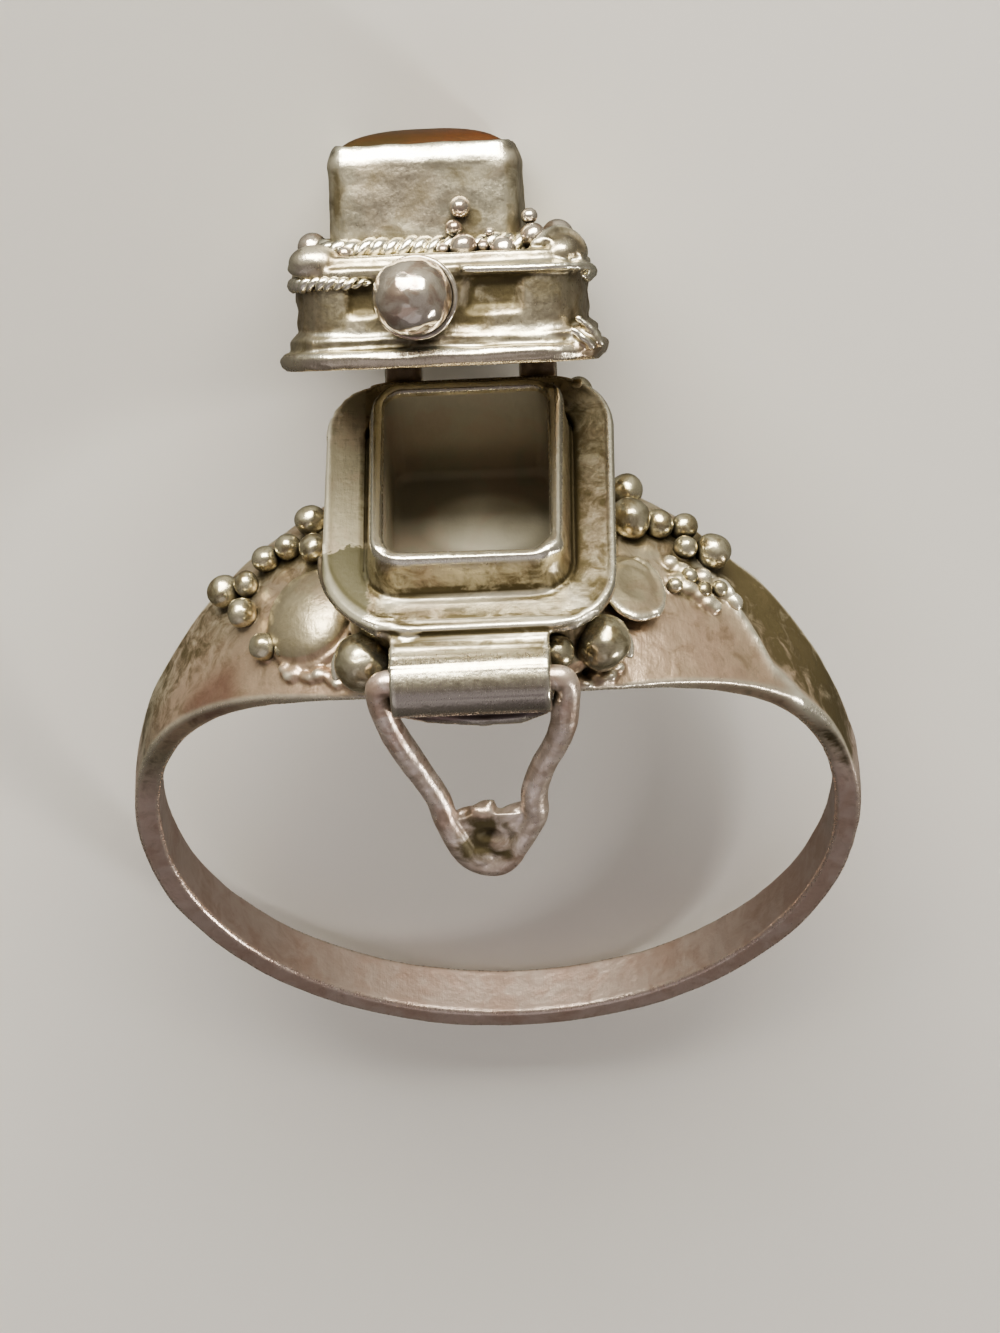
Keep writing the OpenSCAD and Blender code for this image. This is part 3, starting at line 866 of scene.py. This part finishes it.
def right_disc():
    """Leaf-shaped plate, lifted at its front over a gap, with a thicker bright rim on its right."""
    angle, y, tilt = 23.2, -0.7, 0.22
    plate = [(0.0, 0.18), (0.9, 0.16), (1.0, 0.22), (1.0, 0.34), (0.9, 0.40), (0.5, 0.46), (0.2, 0.42)]
    foot = [(1, -0.3), (0.8, 0.3)]
    rim = []
    for t in np.radians(np.linspace(-50, 80, 9)):
        across, along = 0.82 * math.cos(t), 1.2 * math.sin(t)
        rim.append(on_shank(angle + math.degrees(across / SHANK_R), y + along, 0.34 - tilt * along))
    return [dome(angle, y, (0.86, 1.22), plate, tilt), dome(23.6, -0.3, (0.6, 0.7), foot), wire(rim, 0.13)]


# Lips of solder round the feet of two corner balls: the ball, and from and to which turn in degrees
LIPS = [(CORNER_BALLS[0], 130, 200), (CORNER_BALLS[1], -20, 70)]


def solder_lips():
    """Thin lips round the feet of the corner balls, and solder under the granules."""
    shells = []
    for ((cx, cy, cz), r), first, last in LIPS:
        reach = r * 0.95
        shells.append(wire([(cx + reach * math.cos(t), cy - 0.14 + reach * math.sin(t) * 0.64,
                             cz + reach * math.sin(t) * 0.76 - 0.12)
                            for t in np.radians(np.linspace(first, last, 9))], 0.12))
    shells += [ball(on_shank(angle, y, -0.02), r * 0.85, (1, 1, 0.8), n=10)
               for angle, y, r in LEFT_GRANULES + RIGHT_GRANULES]
    return shells


# The raised crease on the right shoulder: angle from the top and place along the finger
CREASE = np.array([
    (36.0, 1.0), (39.4, 0.54), (44.2, -0.24), (49.7, -1.21), (57.3, -1.40), (67.0, -1.28), (77.4, -1.65),
])


def from_crease(co):
    """Distance past the right shoulder's crease, towards the hinge, and where along it that counts."""
    x, y, z = co.T
    angle = np.degrees(np.arctan2(x, z))
    past = y - np.interp(angle, CREASE[:, 0], CREASE[:, 1])
    along = near(angle, 37, 82, 6) * near(np.hypot(x, z), 9.55, 10.5, 0.1)
    return past, along


def ledge_wear(co):
    """Streaks along the ledge's front, hatched strokes on its left and a raised front left corner."""
    x, y, z = co.T
    front = near(y, -4.6, -2.95, 0.2) * near(x, -2.35, 3.4, 0.2)
    left = (x < -2.6) * (y > -1.45)
    corner = near(x, -3.9, -2.3, 0.05) * near(y, -4.4, -1.5, 0.05)
    strokes = soft_noise(co, (0.16, 0.9, 0.3), 6.0) + soft_noise(co, (0.9, 0.2, 0.3), 6.5)
    depth = front * 0.075 * soft_noise(co, (1.1, 0.15, 0.3), 5.0) + left * 0.035 * strokes + corner * 0.03
    return near(z, 12.0, 12.45, 0.1) * depth


def collar_wear(co):
    """The collar's wavy walls and rim."""
    x, y, z = co.T
    walls = near(z, 12.6, 13.9, 0.3) * near(np.abs(x), 1.9, 2.8, 0.3) * (y > -3.3) * (1 + (x > 0))
    rim = near(z, 13.3, 13.9, 0.2) * near(np.abs(y), 2.5, 3.4, 0.2)
    return walls * 0.05 * soft_noise(co, 0.55, 7.0) + rim * 0.05 * soft_noise(co, 0.7, 8.0)


def body_wear(co):
    """How far the body's skin is pushed out: soft dents, the strap's and ledge's streaks and the crease."""
    _, y, z = co.T
    tube = near(z, 10.2, 12.2, 0.1) * (y < -4.15)
    strap = near(z, 11.75, 12.2, 0.1) * near(y, -5.4, -4.15, 0.1)
    depth = (0.030 * soft_noise(co, 1.5, 3.1) + 0.010 * soft_noise(co, 0.45, 1.7)) * (1 - 0.7 * tube)
    depth += strap * 0.045 * soft_noise(co, (0.7, 0.13, 0.3), 2.0)
    depth += ledge_wear(co) + collar_wear(co)
    past, along = from_crease(co)
    depth += along * (0.17 * np.exp(-np.abs(past) / 0.35) - 0.07 * near(past, 0.3, 2.5, 0.6))
    # The ledge's top only sinks, so that the lid still shuts on it
    return np.where((z > 12.28) & (z < 12.5), np.minimum(depth, 0.0), depth)


def shank_marks(co):
    """Painted highlight along the right shoulder's crease, painted shade past it and on the left shoulder's back.
    """
    x, y, z = co.T
    past, along = from_crease(co)
    angle = np.degrees(np.arctan2(x, z))
    outside = near(np.hypot(x, z), 9.6, 11, 0.1)
    # Painted highlight along the crease
    cream = along * np.exp(-(past / 0.2) ** 2) * 0.9
    # Painted shade past the crease, where the shoulder turns away, and on the left shoulder's back
    soot = along * near(past, 0.25, 6, 0.3) * 0.75
    soot += outside * near(angle, -85, -45, 14) * near(y, -1.0, 6, 2.0) * 0.35
    return cream, soot


def ledge_marks(co, cloud):
    """Rubbed streaks with darker metal between them along the ledge's front, and a lighter right edge beside a
    darker strip.
    """
    x, y, z = co.T
    ledge = near(z, 12.1, 12.6, 0.1)
    streaks = near(soft_noise(co, (1.3, 0.15, 0.3), 5.0), 0.12, 2, 0.25)
    cream = ledge * near(y, -4.6, -3.1, 0.2) * near(x, -2.2, 3.0, 0.3) * streaks * 0.6
    cream += ledge * near(x, 3.58, 4, 0.05) * 0.5
    soot = ledge * near(y, -4.4, -3.2, 0.2) * near(x, -2.2, 3.2, 0.3) * (1 - streaks) * (0.12 + 0.3 * cloud)
    soot += ledge * near(x, 2.6, 3.5, 0.1) * (0.2 + 0.4 * cloud)
    return cream, soot


def head_marks(co, cloud):
    """A lighter broken rim over the collar's darker front, and light flecks over darker metal on the strap."""
    x, y, z = co.T
    rim = near(z, 13.42, 14, 0.08) * near(cloud, 0.25, 2, 0.4) * near(y, -4, 1.5, 1.5)
    front = near(z, 12.45, 13.3, 0.15) * near(y, -4, -2.8, 0.1) * near(x, -2.6, 2.6, 0.2)
    strap = near(z, 11.9, 12.35, 0.1) * near(y, -4.9, -4.2, 0.1) * near(np.abs(x), -1, 2, 0.1)
    flecks = near(soft_noise(co, (0.5, 0.13, 0.3), 2.0), 0.14, 2, 0.16)
    return rim * 0.9 + strap * flecks * 0.9, front * 0.55 * cloud + strap * (1 - flecks) * 0.5


def body_marks(mesh):
    """Keep where the body is lighter, with rubbed metal and painted highlights, and darker, with tarnish and
    painted shade.
    """
    co = coords(mesh).astype(float)
    cloud = 0.5 + 0.5 * soft_noise(co, 0.5, 4.0)
    cream, soot = np.sum([shank_marks(co), ledge_marks(co, cloud), head_marks(co, cloud)], axis=0)
    keep(mesh, "cream", cream)
    keep(mesh, "soot", soot)


def ring_silver():
    """Shank, box, latch tube, middle knuckle, discs, solder and melted beads in one skin."""
    shells = [shank(), box(), *latch_tube(), *hinge_middle(), *left_disc(), *right_disc()]
    shells += solder_lips() + melted_beads()
    mesh = fused("ring_silver", shells, voxel=0.05, triangles=195000, rounds=40, full=0.10)
    dented(mesh, body_wear)
    body_marks(mesh)
    finish = worn_silver("ring silver", body_regions, pink=0.25)
    place("ring_silver", mesh, RING, "ring", "ring_silver", finish, ["ring_body"])


# The lid, from its lower face up
FLANGE = (8.15, 8.5, 1.7)
LID_WALL = (7.15, 7.8, 1.3)
PLATE_H = 2.5
BEZEL = (4.75, 5.0, 0.55)
BEZEL_SHIFT = -0.33
BEZEL_TOP = 5.57
STONE_SEAT = 3.4
STONE_TOP = 5.95
CATCH_BALL = ((-0.57, -4.75, 1.76), 0.98)
# Granules on the upper plate and up the bezel's front: place and radius
LID_GRANULES = [
    ((0.60, -2.68, 3.90), 0.28), ((0.42, -2.74, 3.40), 0.22), ((0.66, -3.2, 2.92), 0.34),
    ((1.66, -3.3, 2.82), 0.33), ((1.32, -2.8, 3.24), 0.14), ((1.16, -3.1, 2.9), 0.17),
    ((2.95, -1.5, 3.09), 0.42), ((2.95, -0.5, 3.04), 0.34), ((-3.2, -1.6, 3.07), 0.38),
    ((-3.15, -0.7, 3.02), 0.32), ((-2.3, -3.2, 2.86), 0.2), ((0.16, -3.15, 2.86), 0.17),
    ((2.38, -2.5, 3.1), 0.34), ((2.3, -2.3, 3.62), 0.2),
]


def aside(ring, shift):
    """A ring of points moved across the hand."""
    return ring + (shift, 0, 0)


def lid_shell():
    """Flange with a sharp edge, step, wall and upper plate over the hollow underside."""
    hollow = grown(LID_WALL, -0.4)
    step = grown(FLANGE, -0.26)
    plate = grown(LID_WALL, 0.1)
    return loft([
        cushion(hollow, 2.2), cushion(hollow, 2.15), cushion(hollow, 0.08), cushion(grown(hollow, 0.08), 0),
        cushion(grown(FLANGE, -0.16), 0), cushion(grown(FLANGE, -0.05), 0.12), cushion(FLANGE, 0.27),
        cushion(grown(FLANGE, -0.03), 0.38), cushion(grown(FLANGE, -0.14), 0.46), cushion(step, 0.42),
        cushion(step, 0.76), cushion(grown(step, -0.1), 0.86), cushion(grown(LID_WALL, 0.02), 0.92),
        cushion(LID_WALL, 1.0), cushion(LID_WALL, PLATE_H - 0.3), cushion(plate, PLATE_H - 0.24),
        cushion(plate, PLATE_H - 0.02), cushion(grown(plate, -0.12), PLATE_H + 0.04),
        cushion(grown(plate, -0.14), PLATE_H + 0.24), cushion(grown(plate, -0.2), PLATE_H + 0.3),
        aside(cushion(grown(BEZEL, 0.2), PLATE_H + 0.3), BEZEL_SHIFT)])


def bezel():
    """Thin wall round the stone, rubbed over towards it at the rim."""
    inner = grown(BEZEL, -0.25)
    rings = [
        cushion(grown(BEZEL, -0.5), PLATE_H - 0.1), cushion(grown(BEZEL, 0.04), PLATE_H - 0.1),
        cushion(grown(BEZEL, 0.03), 3.4), cushion(BEZEL, 4.6), cushion(BEZEL, BEZEL_TOP - 0.5),
        cushion(grown(BEZEL, -0.03), BEZEL_TOP - 0.36), cushion(grown(BEZEL, -0.14), BEZEL_TOP - 0.1),
        cushion(grown(BEZEL, -0.22), BEZEL_TOP), cushion(grown(inner, -0.03), BEZEL_TOP - 0.02),
        cushion(inner, BEZEL_TOP - 0.14), cushion(inner, STONE_SEAT)]
    return loft([aside(ring, BEZEL_SHIFT) for ring in rings])


def lid_leaves():
    """The two hinge leaves, wrapped round the ledge's back edge, with their knuckles and tails."""
    shells = []
    hinge_z, leaf_top = HINGE_Z - LID_Z, 0.47
    back, flange_back = LEDGE[1] / 2 + 0.1, FLANGE[1] / 2 - 0.3
    outer = back + 0.38
    for x0, x1 in ((-2.28, -1.28), (1.28, 2.28)):
        x0, x1 = x0 - LID_SHIFT, x1 - LID_SHIFT
        leaf = [(x0, back), (x1, back), (x1, outer), (x0, outer)]
        tail = [(x0, flange_back), (x1, flange_back), (x1, outer), (x0, outer)]
        shells += [pipe(x0, x1, HINGE_Y, hinge_z, KNUCKLE_R, PIN_HOLE_R),
                   slab(leaf, hinge_z - 0.92, hinge_z - 0.36), slab(leaf, hinge_z + 0.36, leaf_top),
                   slab(tail, 0.0, leaf_top)]
    return shells


def plate_ornaments():
    """Domed block on the plate's left corner, curled dome on its right, and the flange's bent corner."""
    top = PLATE_H
    curl = [(2.5, -3.55, top + 0.35), (2.75, -3.2, top + 0.7), (3.1, -2.75, top + 0.78),
            (3.5, -2.6, top + 0.5), (3.66, -2.95, top + 0.1), (3.45, -3.45, top + 0.05)]
    eye = [(2.65 + 0.28 * math.cos(t), -3.5, top + 0.34 + 0.2 * math.sin(t)) for t in np.linspace(0, 5.2, 9)]
    edge = [(0.6, -4.06, top - 0.12), (2.3, -4.07, top - 0.16), (3.25, -3.85, top - 0.14),
            (3.85, -3.1, top - 0.2)]
    folds = [[(3.42, -3.75, 1.1), (3.8, -3.68, 0.72), (4.02, -3.5, 0.33)],
             [(3.25, -3.9, 0.8), (3.6, -3.88, 0.55), (3.8, -3.7, 0.3)]]
    return [ball((-3.02, -3.45, top + 0.16), 0.66, (1.0, 0.75, 0.7), 18),
            ball((3.05, -2.95, top + 0.2), 0.62, (0.9, 1.2, 0.75), 18),
            wire(curl, 0.14), wire(eye, 0.08), wire(edge, 0.1),
            ball((3.5, -3.35, 0.52), 0.5, (1.0, 0.9, 0.8), 14)] + [wire(fold, 0.1) for fold in folds]


def lid_wear(co):
    """How far the lid's skin is pushed out: dents, recesses beside the catch ball and uneven edges."""
    x, y, h = co.T
    depth = 0.03 * soft_noise(co, 1.3, 8.7) + 0.012 * soft_noise(co, 0.4, 4.4)
    wall = (y < -3.5) * near(h, 1.35, 2.1, 0.22)
    depth -= wall * near(x, 0.78, 2.05, 0.25) * 0.17
    depth -= wall * near(x, -2.2, -1.5, 0.25) * 0.16
    depth += near(h, 4.9, 5.8, 0.2) * 0.05 * soft_noise(co, 0.8, 9.0)
    depth += near(h, 0.0, 0.95, 0.1) * 0.035 * soft_noise(co, (1.1, 0.3, 0.14), 2.0)
    depth += near(np.abs(x), 3.3, 3.9, 0.1) * near(h, 1.0, 2.6, 0.1) * 0.07 * soft_noise(co, 0.35, 5.0)
    # The lower face only sinks, so that it still shuts on the ledge
    return np.where(h < 0.08, np.minimum(depth, 0.0), depth)


def lid_marks(mesh):
    """Keep where the lid is lighter and darker: painted highlights on its flange's and plate's edges, a rubbed
    bezel rim with a painted highlight, painted shade in its recesses, under the catch ball and on the bezel's
    sides, and darker clouds on the bezel's front.
    """
    co = coords(mesh).astype(float)
    x, y, h = co.T
    cloud = 0.5 + 0.5 * soft_noise(co, 0.6, 4.0)
    along = near(soft_noise(co, (0.9, 0.3, 0.12), 2.0), -0.05, 2, 0.3)
    # Painted highlights along the flange's edges, broken along their length
    cream = near(h, 0.36, 0.52, 0.06) * near(x, -3.4, 1.2, 0.6) * along * 0.9
    cream += near(h, 0.74, 0.95, 0.06) * near(x, -3.2, -0.2, 0.5) * along * 0.9
    cream += near(h, 0.36, 0.95, 0.06) * near(x, 1.0, 4.2, 0.5) * along * 0.35
    # The bezel's rim: rubbed metal with a painted highlight
    cream += near(h, BEZEL_TOP - 0.42, 6, 0.1) * near(y, -4, 0, 0.5) * near(x, -2.4, 1.6, 0.25)
    # Painted highlight along the plate's edge
    cream += near(h, PLATE_H - 0.26, PLATE_H + 0.06, 0.05) * near(x, 0.6, 4.2, 0.1) * 0.6
    wall = (y < -3.4) * near(h, 1.0, 2.2, 0.1)
    # Painted shade in the recesses on either side of the catch ball, and under it
    soot = wall * near(x, -2.2, -1.5, 0.15) * near(h, 1.35, 2.1, 0.1) * 0.6
    soot += wall * near(x, 0.78, 2.05, 0.12) * near(h, 1.35, 2.1, 0.1) * (0.35 + 0.35 * cloud)
    soot += wall * near(x, 0.1, 1.2, 0.5) * near(h, 0.9, 1.5, 0.2) * 0.5
    # Painted shade on the bezel's sides, uneven
    sides = near(np.abs(x - BEZEL_SHIFT), 2.08, 3, 0.1) * near(h, 2.9, 5.3, 0.15)
    soot += sides * (0.3 + 0.35 * cloud)
    # Painted shade of a pit beside the granules on the bezel's front, and darker clouds over that front
    soot += (y < -2.3) * near(np.hypot(x - 0.95, h - 3.68), -1, 0.2, 0.15)
    clouds = near(soft_noise(co, (0.9, 1, 0.7), 12.0), 0.05, 2, 0.4)
    soot += near(y, -3, -2.3, 0.1) * near(h, 2.9, 5.0, 0.3) * 0.5 * clouds
    keep(mesh, "cream", cream)
    keep(mesh, "soot", soot)


def lid_silver():
    """Lid, bezel, hinge leaves, ornaments and the catch ball's stem in one skin."""
    (x, _, h), _ = CATCH_BALL
    stem = sweep([(x, -3.7, h), (x, -4.4, h)], 0.45)
    shells = [lid_shell(), bezel(), *lid_leaves(), *plate_ornaments(), stem]
    mesh = fused("lid_silver", shells, voxel=0.05, triangles=180000, rounds=40, full=0.10)
    dented(mesh, lid_wear)
    lid_marks(mesh)
    finish = worn_silver("lid silver", lid_regions, pink=0.15)
    place("lid_silver", mesh, LID, "lid", "lid_silver", finish, ["lid"])


def lid_granules():
    """The lid's granules, the catch ball and the thin ring that it sits in."""
    (x, _, h), r = CATCH_BALL
    turn = around(48)
    seat = np.stack([x + 0.06 + r * np.cos(turn), np.full(48, -4.45), h - 0.02 + r * np.sin(turn)], 1)
    shells = [ball(centre, size, n=16) for centre, size in LID_GRANULES]
    shells += [ball(*CATCH_BALL, n=32), sweep(seat, 0.08, 10, closed=True)]
    mesh = mesh_from("lid_granules", shells)
    dented(mesh, lambda co: 0.03 * soft_noise(co, 0.8, 6.2))
    finish = polished_granule("catch ball silver", CATCH_LIGHT, CATCH_DULL, pink=0.4, rough=0.13)
    place("lid_granules", mesh, LID, "lid", "lid_silver", finish)


def twisted_wire(line, r, pitch, closed=True):
    """Two thin strands twisted round a line, their ends drawn in where it is open."""
    if closed:
        line = np.concatenate([line, line[:1]])
    run = np.concatenate([[0], np.cumsum(np.linalg.norm(np.diff(line, axis=0), axis=1))])
    turns = round(run[-1] / pitch)
    at = np.linspace(0, run[-1], turns * 10, endpoint=not closed)
    middle = np.stack([np.interp(at, run, line[:, k]) for k in range(3)], 1)
    t = np.roll(middle, -1, 0) - np.roll(middle, 1, 0)
    if not closed:
        t[0], t[-1] = t[1], t[-2]
    t /= np.linalg.norm(t, axis=1)[:, None]
    up = np.array((0, 0, 1.0))
    side = np.cross(t, up)
    full = 1.0 if closed else np.clip(np.minimum(at, run[-1] - at) / 0.3 + 0.2, 0, 1)
    shells = []
    for phase in (0, math.pi):
        a = 2 * math.pi * turns * at / run[-1] + phase
        offset = (r * full) * np.cos(a) * side.T + (r * full) * np.sin(a) * up[:, None]
        shells.append(sweep(middle + offset.T, r * 1.05 * full, 8, closed=closed))
    return shells


def lid_rope():
    """Twisted wire round the bezel's foot, and under the plate but for its front right."""
    upper = aside(cushion(grown(BEZEL, 0.16), PLATE_H + 0.45, 200), BEZEL_SHIFT)
    ring = cushion(grown(LID_WALL, 0.07), PLATE_H - 0.36, 240)
    gap = (ring[:, 1] < -2.6) & (ring[:, 0] > -1.5)
    first = np.nonzero(gap & ~np.roll(gap, -1))[0][0] + 1
    lower = np.roll(ring, -first, 0)[:int((~gap).sum())]
    shells = twisted_wire(upper, 0.15, 0.7) + twisted_wire(lower, 0.092, 0.5, closed=False)
    mesh = mesh_from("lid_rope", shells)
    dented(mesh, lambda co: 0.08 * soft_noise(co, 0.5, 3.3))
    hollows(mesh, 6, 0.05)
    keep(mesh, "cream", near(soft_noise(coords(mesh).astype(float), 0.7, 1.0), -0.2, 2, 0.6) * 0.6)
    finish = worn_silver("rope silver", pink=0.05, grime_and_shade=0.6, rough=0.28, dents=0.01)
    place("lid_rope", mesh, LID, "lid", "lid_silver", finish)


def stone():
    """Cabochon: straight below the bezel's rim and domed above it."""
    size = grown(BEZEL, -0.28)
    rings = [cushion(grown(size, -inset), z) for z, inset in (
        (STONE_SEAT + 0.04, 0.05), (STONE_SEAT + 0.1, 0.0), (BEZEL_TOP - 0.25, 0.0))]
    low = BEZEL_TOP - 0.2
    for t in np.linspace(0, math.pi / 2, 24)[:-1]:
        ring = cushion(size, 0) * math.cos(t) ** 0.9
        ring[:, 2] = low + (STONE_TOP - low) * math.sin(t)
        rings.append(ring)
    points, faces = loft(rings)
    points[-1] = (0, 0, STONE_TOP)
    mesh = mesh_from("stone_dome", [(aside(points, BEZEL_SHIFT), faces)])
    place("stone_dome", mesh, LID, "lid", "stone", cabochon_stone("cabochon"), ["stone"])


# The latch loop, in its own plane: place across and distance from the tube's axis
LOOP_LEFT = [
    (0, 0), (-2.08, 0), (-2.36, 0.05), (-2.43, 0.4), (-2.27, 1.2), (-2.03, 1.92), (-1.55, 2.98),
    (-1.13, 3.9), (-1.0, 4.57), (-0.82, 5.1), (-0.6, 5.7), (-0.4, 6.12), (-0.1, 6.33),
]
LOOP_RIGHT = [
    (0.3, 6.33), (0.58, 6.1), (0.8, 5.75), (1.12, 5.2), (1.4, 4.6), (1.34, 4.1), (1.42, 3.6), (1.6, 3.05),
    (2.02, 2.25), (2.26, 1.6), (2.3, 1.1), (2.42, 0.45), (2.34, 0.05), (2.05, 0), (0, 0),
]
TIP_PLATE = [
    (-0.75, 5.4), (-0.35, 6.2), (0.5, 6.2), (0.95, 5.4), (1.2, 4.5), (0.4, 4.5), (-0.3, 4.5), (-0.95, 4.75),
]
# Solder runs on the plate: route and radius
TIP_RUNS = [
    (((-0.95, 4.9, 0.1), (-0.4, 4.62, 0.2), (0.15, 4.75, 0.24), (0.55, 5.1, 0.16)), 0.17),
    (((-0.55, 5.05, 0.1), (-0.1, 4.55, 0.28), (0.3, 4.35, 0.1)), 0.15),
    (((0.3, 5.15, 0.1), (0.65, 4.75, 0.18), (1.3, 4.55, 0.08)), 0.26),
]
# Lumps of solder on the plate: place, radius and squash
TIP_LUMPS = [
    ((0.0, 4.52, 0.06), 0.27, (1.25, 0.8, 0.9)), ((0.45, 5.7, 0.06), 0.46, (1.0, 1.1, 0.7)),
    ((-0.2, 6.0, 0.02), 0.46, (1.1, 0.9, 0.75)), ((0.75, 5.0, 0.08), 0.42, (1.1, 1.2, 0.6)),
    ((-0.45, 5.5, 0.06), 0.4, (0.9, 1.3, 0.6)),
]


def latch_tip():
    """The lumpy soldered plate that fills the loop's tip."""
    shells = [slab(TIP_PLATE, -0.14, 0.16)]
    shells += [wire(route, r, 12) for route, r in TIP_RUNS]
    return shells + [ball(centre, r, squash, 14) for centre, r, squash in TIP_LUMPS]


def latch_wire():
    """Bent wire with a kink in its right leg, and the plate at its tip, in one skin."""
    line = smooth_line([(x, w, 0) for x, w in LOOP_LEFT + LOOP_RIGHT])
    uneven = 0.345 + 0.018 * np.sin(np.linspace(0, 40, len(line)))
    shells = [sweep(line, uneven, flat=0.95)] + latch_tip()
    mesh = fused("latch_wire", shells, voxel=0.04, triangles=80000, rounds=30, full=0.12)
    dented(mesh, latch_wear)
    co = coords(mesh).astype(float)
    tip = near(co[:, 1], 4.6, 5.9, 0.4) * near(co[:, 0], -0.7, 0.8, 0.4)
    keep(mesh, "soot", tip * (0.25 + 0.6 * near(soft_noise(co, 0.5, 2.0), -0.1, 2, 0.5)))
    finish = worn_silver("latch silver", latch_regions, pink=0.5, grime_and_shade=0.6, rough=0.27, metal=0.9)
    place("latch_wire", mesh, LATCH, "latch", "loop_silver", finish, ["latch_loop"])


def latch_wear(co):
    """How far the loop's skin is pushed out: uneven wire, and a small hole in the plate at its tip."""
    x, w, _ = co.T
    depth = 0.02 * soft_noise(co, 0.8, 5.5) + 0.010 * soft_noise(co, 0.3, 5.9)
    return depth - 0.14 * np.clip(1.3 - np.hypot((x - 0.12) / 1.3, w - 5.2) / 0.2, 0, 1)


# Floor, light and camera

def cove():
    """Pale floor that curves up far behind the ring; the metal mirrors the room instead of it."""
    flat, bend, top = 0.5, 0.35, 0.9
    profile = [(0.02, 0), (flat, 0)]
    profile += [(flat + bend * math.sin(t), bend * (1 - math.cos(t)))
                for t in np.linspace(0.1, math.pi / 2, 16)]
    profile.append((flat + bend, top))
    sides = 96
    u = around(sides)
    rings = [np.stack([r * np.cos(u), r * np.sin(u), np.full(sides, z)], 1) for r, z in profile]
    points, faces = loft(rings)
    mesh = bpy.data.meshes.new("floor")
    # The last fan is left out, because it would close the top
    mesh.from_pydata(points.tolist(), [], faces[:-sides])
    mesh.polygons.foreach_set("use_smooth", [True] * len(mesh.polygons))
    mesh.materials.append(pale_paper("pale floor"))
    floor = bpy.data.objects.new("floor", mesh)
    floor.visible_glossy = False
    floor.visible_shadow = False
    bpy.context.scene.collection.objects.link(floor)


# What the lights look at, near the ring's head, in metres
HEAD = Vector((0, 0.006, 0.005))


def soft_light(name, direction, distance, size, power, colour):
    """Area light of a width and height that looks at the ring's head from a direction in the world."""
    lamp = bpy.data.lights.new(name, "AREA")
    lamp.shape = "RECTANGLE"
    lamp.size, lamp.size_y = size
    lamp.energy, lamp.color = power, colour
    obj = bpy.data.objects.new(name, lamp)
    away = Vector(direction).normalized()
    obj.location = away * distance + HEAD
    obj.rotation_euler = away.to_track_quat("Z", "Y").to_euler()
    obj.visible_camera = False
    bpy.context.scene.collection.objects.link(obj)


ROOM_LOW = (0.115, 0.108, 0.094, 1)
ROOM_HIGH = (0.150, 0.132, 0.138, 1)
ROOM_GLOW = (0.47, 0.45, 0.385, 1)


def room_light():
    """Dim room, brighter towards the side that the ring's head points to."""
    world = bpy.data.worlds.new("room")
    world.use_nodes = True
    bpy.context.scene.world = world
    n = Nodes(world.node_tree)
    _, y, z = n.parts(Value(n, n.add("ShaderNodeTexCoord").outputs["Generated"]))
    glow = y.between(0.1, 0.95)
    overhead = n.mixed(z.between(-0.2, 0.9), ROOM_LOW, ROOM_HIGH)
    colour = n.mixed(glow * (1 - z.between(0.5, 0.9)), overhead, ROOM_GLOW)
    background = n.add("ShaderNodeBackground", None, {"Color": colour})
    output = n.add("ShaderNodeOutputWorld")
    n.tree.links.new(background.outputs[0], output.inputs[0])


def camera():
    """The photograph's camera, in the ring's frame: it looks down on the head from the front."""
    turn, height, roll = math.radians(3.93), math.radians(50.39), math.radians(-5.3)
    away, target, lens, sensor = 130.0, Vector((0.36, 0.47, 5.0)), 130.2, 36.0
    back = Vector((math.sin(turn) * math.cos(height), -math.cos(turn) * math.cos(height), math.sin(height)))
    right = Vector((math.cos(turn), math.sin(turn), 0))
    up = back.cross(right)
    x = right * math.cos(roll) + up * math.sin(roll)
    y = up * math.cos(roll) - right * math.sin(roll)
    pose = Matrix((x, y, back)).transposed().to_4x4()
    pose.translation = target + back * away
    data = bpy.data.cameras.new("camera")
    data.lens, data.sensor_width, data.clip_start = lens, sensor, 0.01
    obj = bpy.data.objects.new("camera", data)
    bpy.context.scene.collection.objects.link(obj)
    loc, rot, _ = (RING @ pose).decompose()
    obj.matrix_world = Matrix.LocRotScale(loc, rot, Vector((1, 1, 1)))
    bpy.context.scene.camera = obj


# The scene

ring_silver()
granules()
lid_silver()
lid_granules()
lid_rope()
stone()
latch_wire()
pin = frame["nodes"]["hinge_pin"]
pin.data.materials.clear()
pin.data.materials.append(worn_silver("pin silver", imported=True, pink=0.1))
cove()
soft_light("key", (0.0, 0.96, 0.22), distance=0.34, size=(0.42, 0.20), power=4.2, colour=(1.0, 0.965, 0.87))
soft_light("side", (0.77, -0.48, 0.44), distance=0.34, size=(0.06, 0.06), power=0.35, colour=(1, 0.96, 0.9))
soft_light("top", (-0.2, -0.35, 0.9), distance=0.9, size=(0.8, 0.8), power=0.5, colour=(0.98, 0.93, 1.0))
room_light()
camera()
bpy.context.scene.view_settings.look = "AgX - Medium High Contrast"
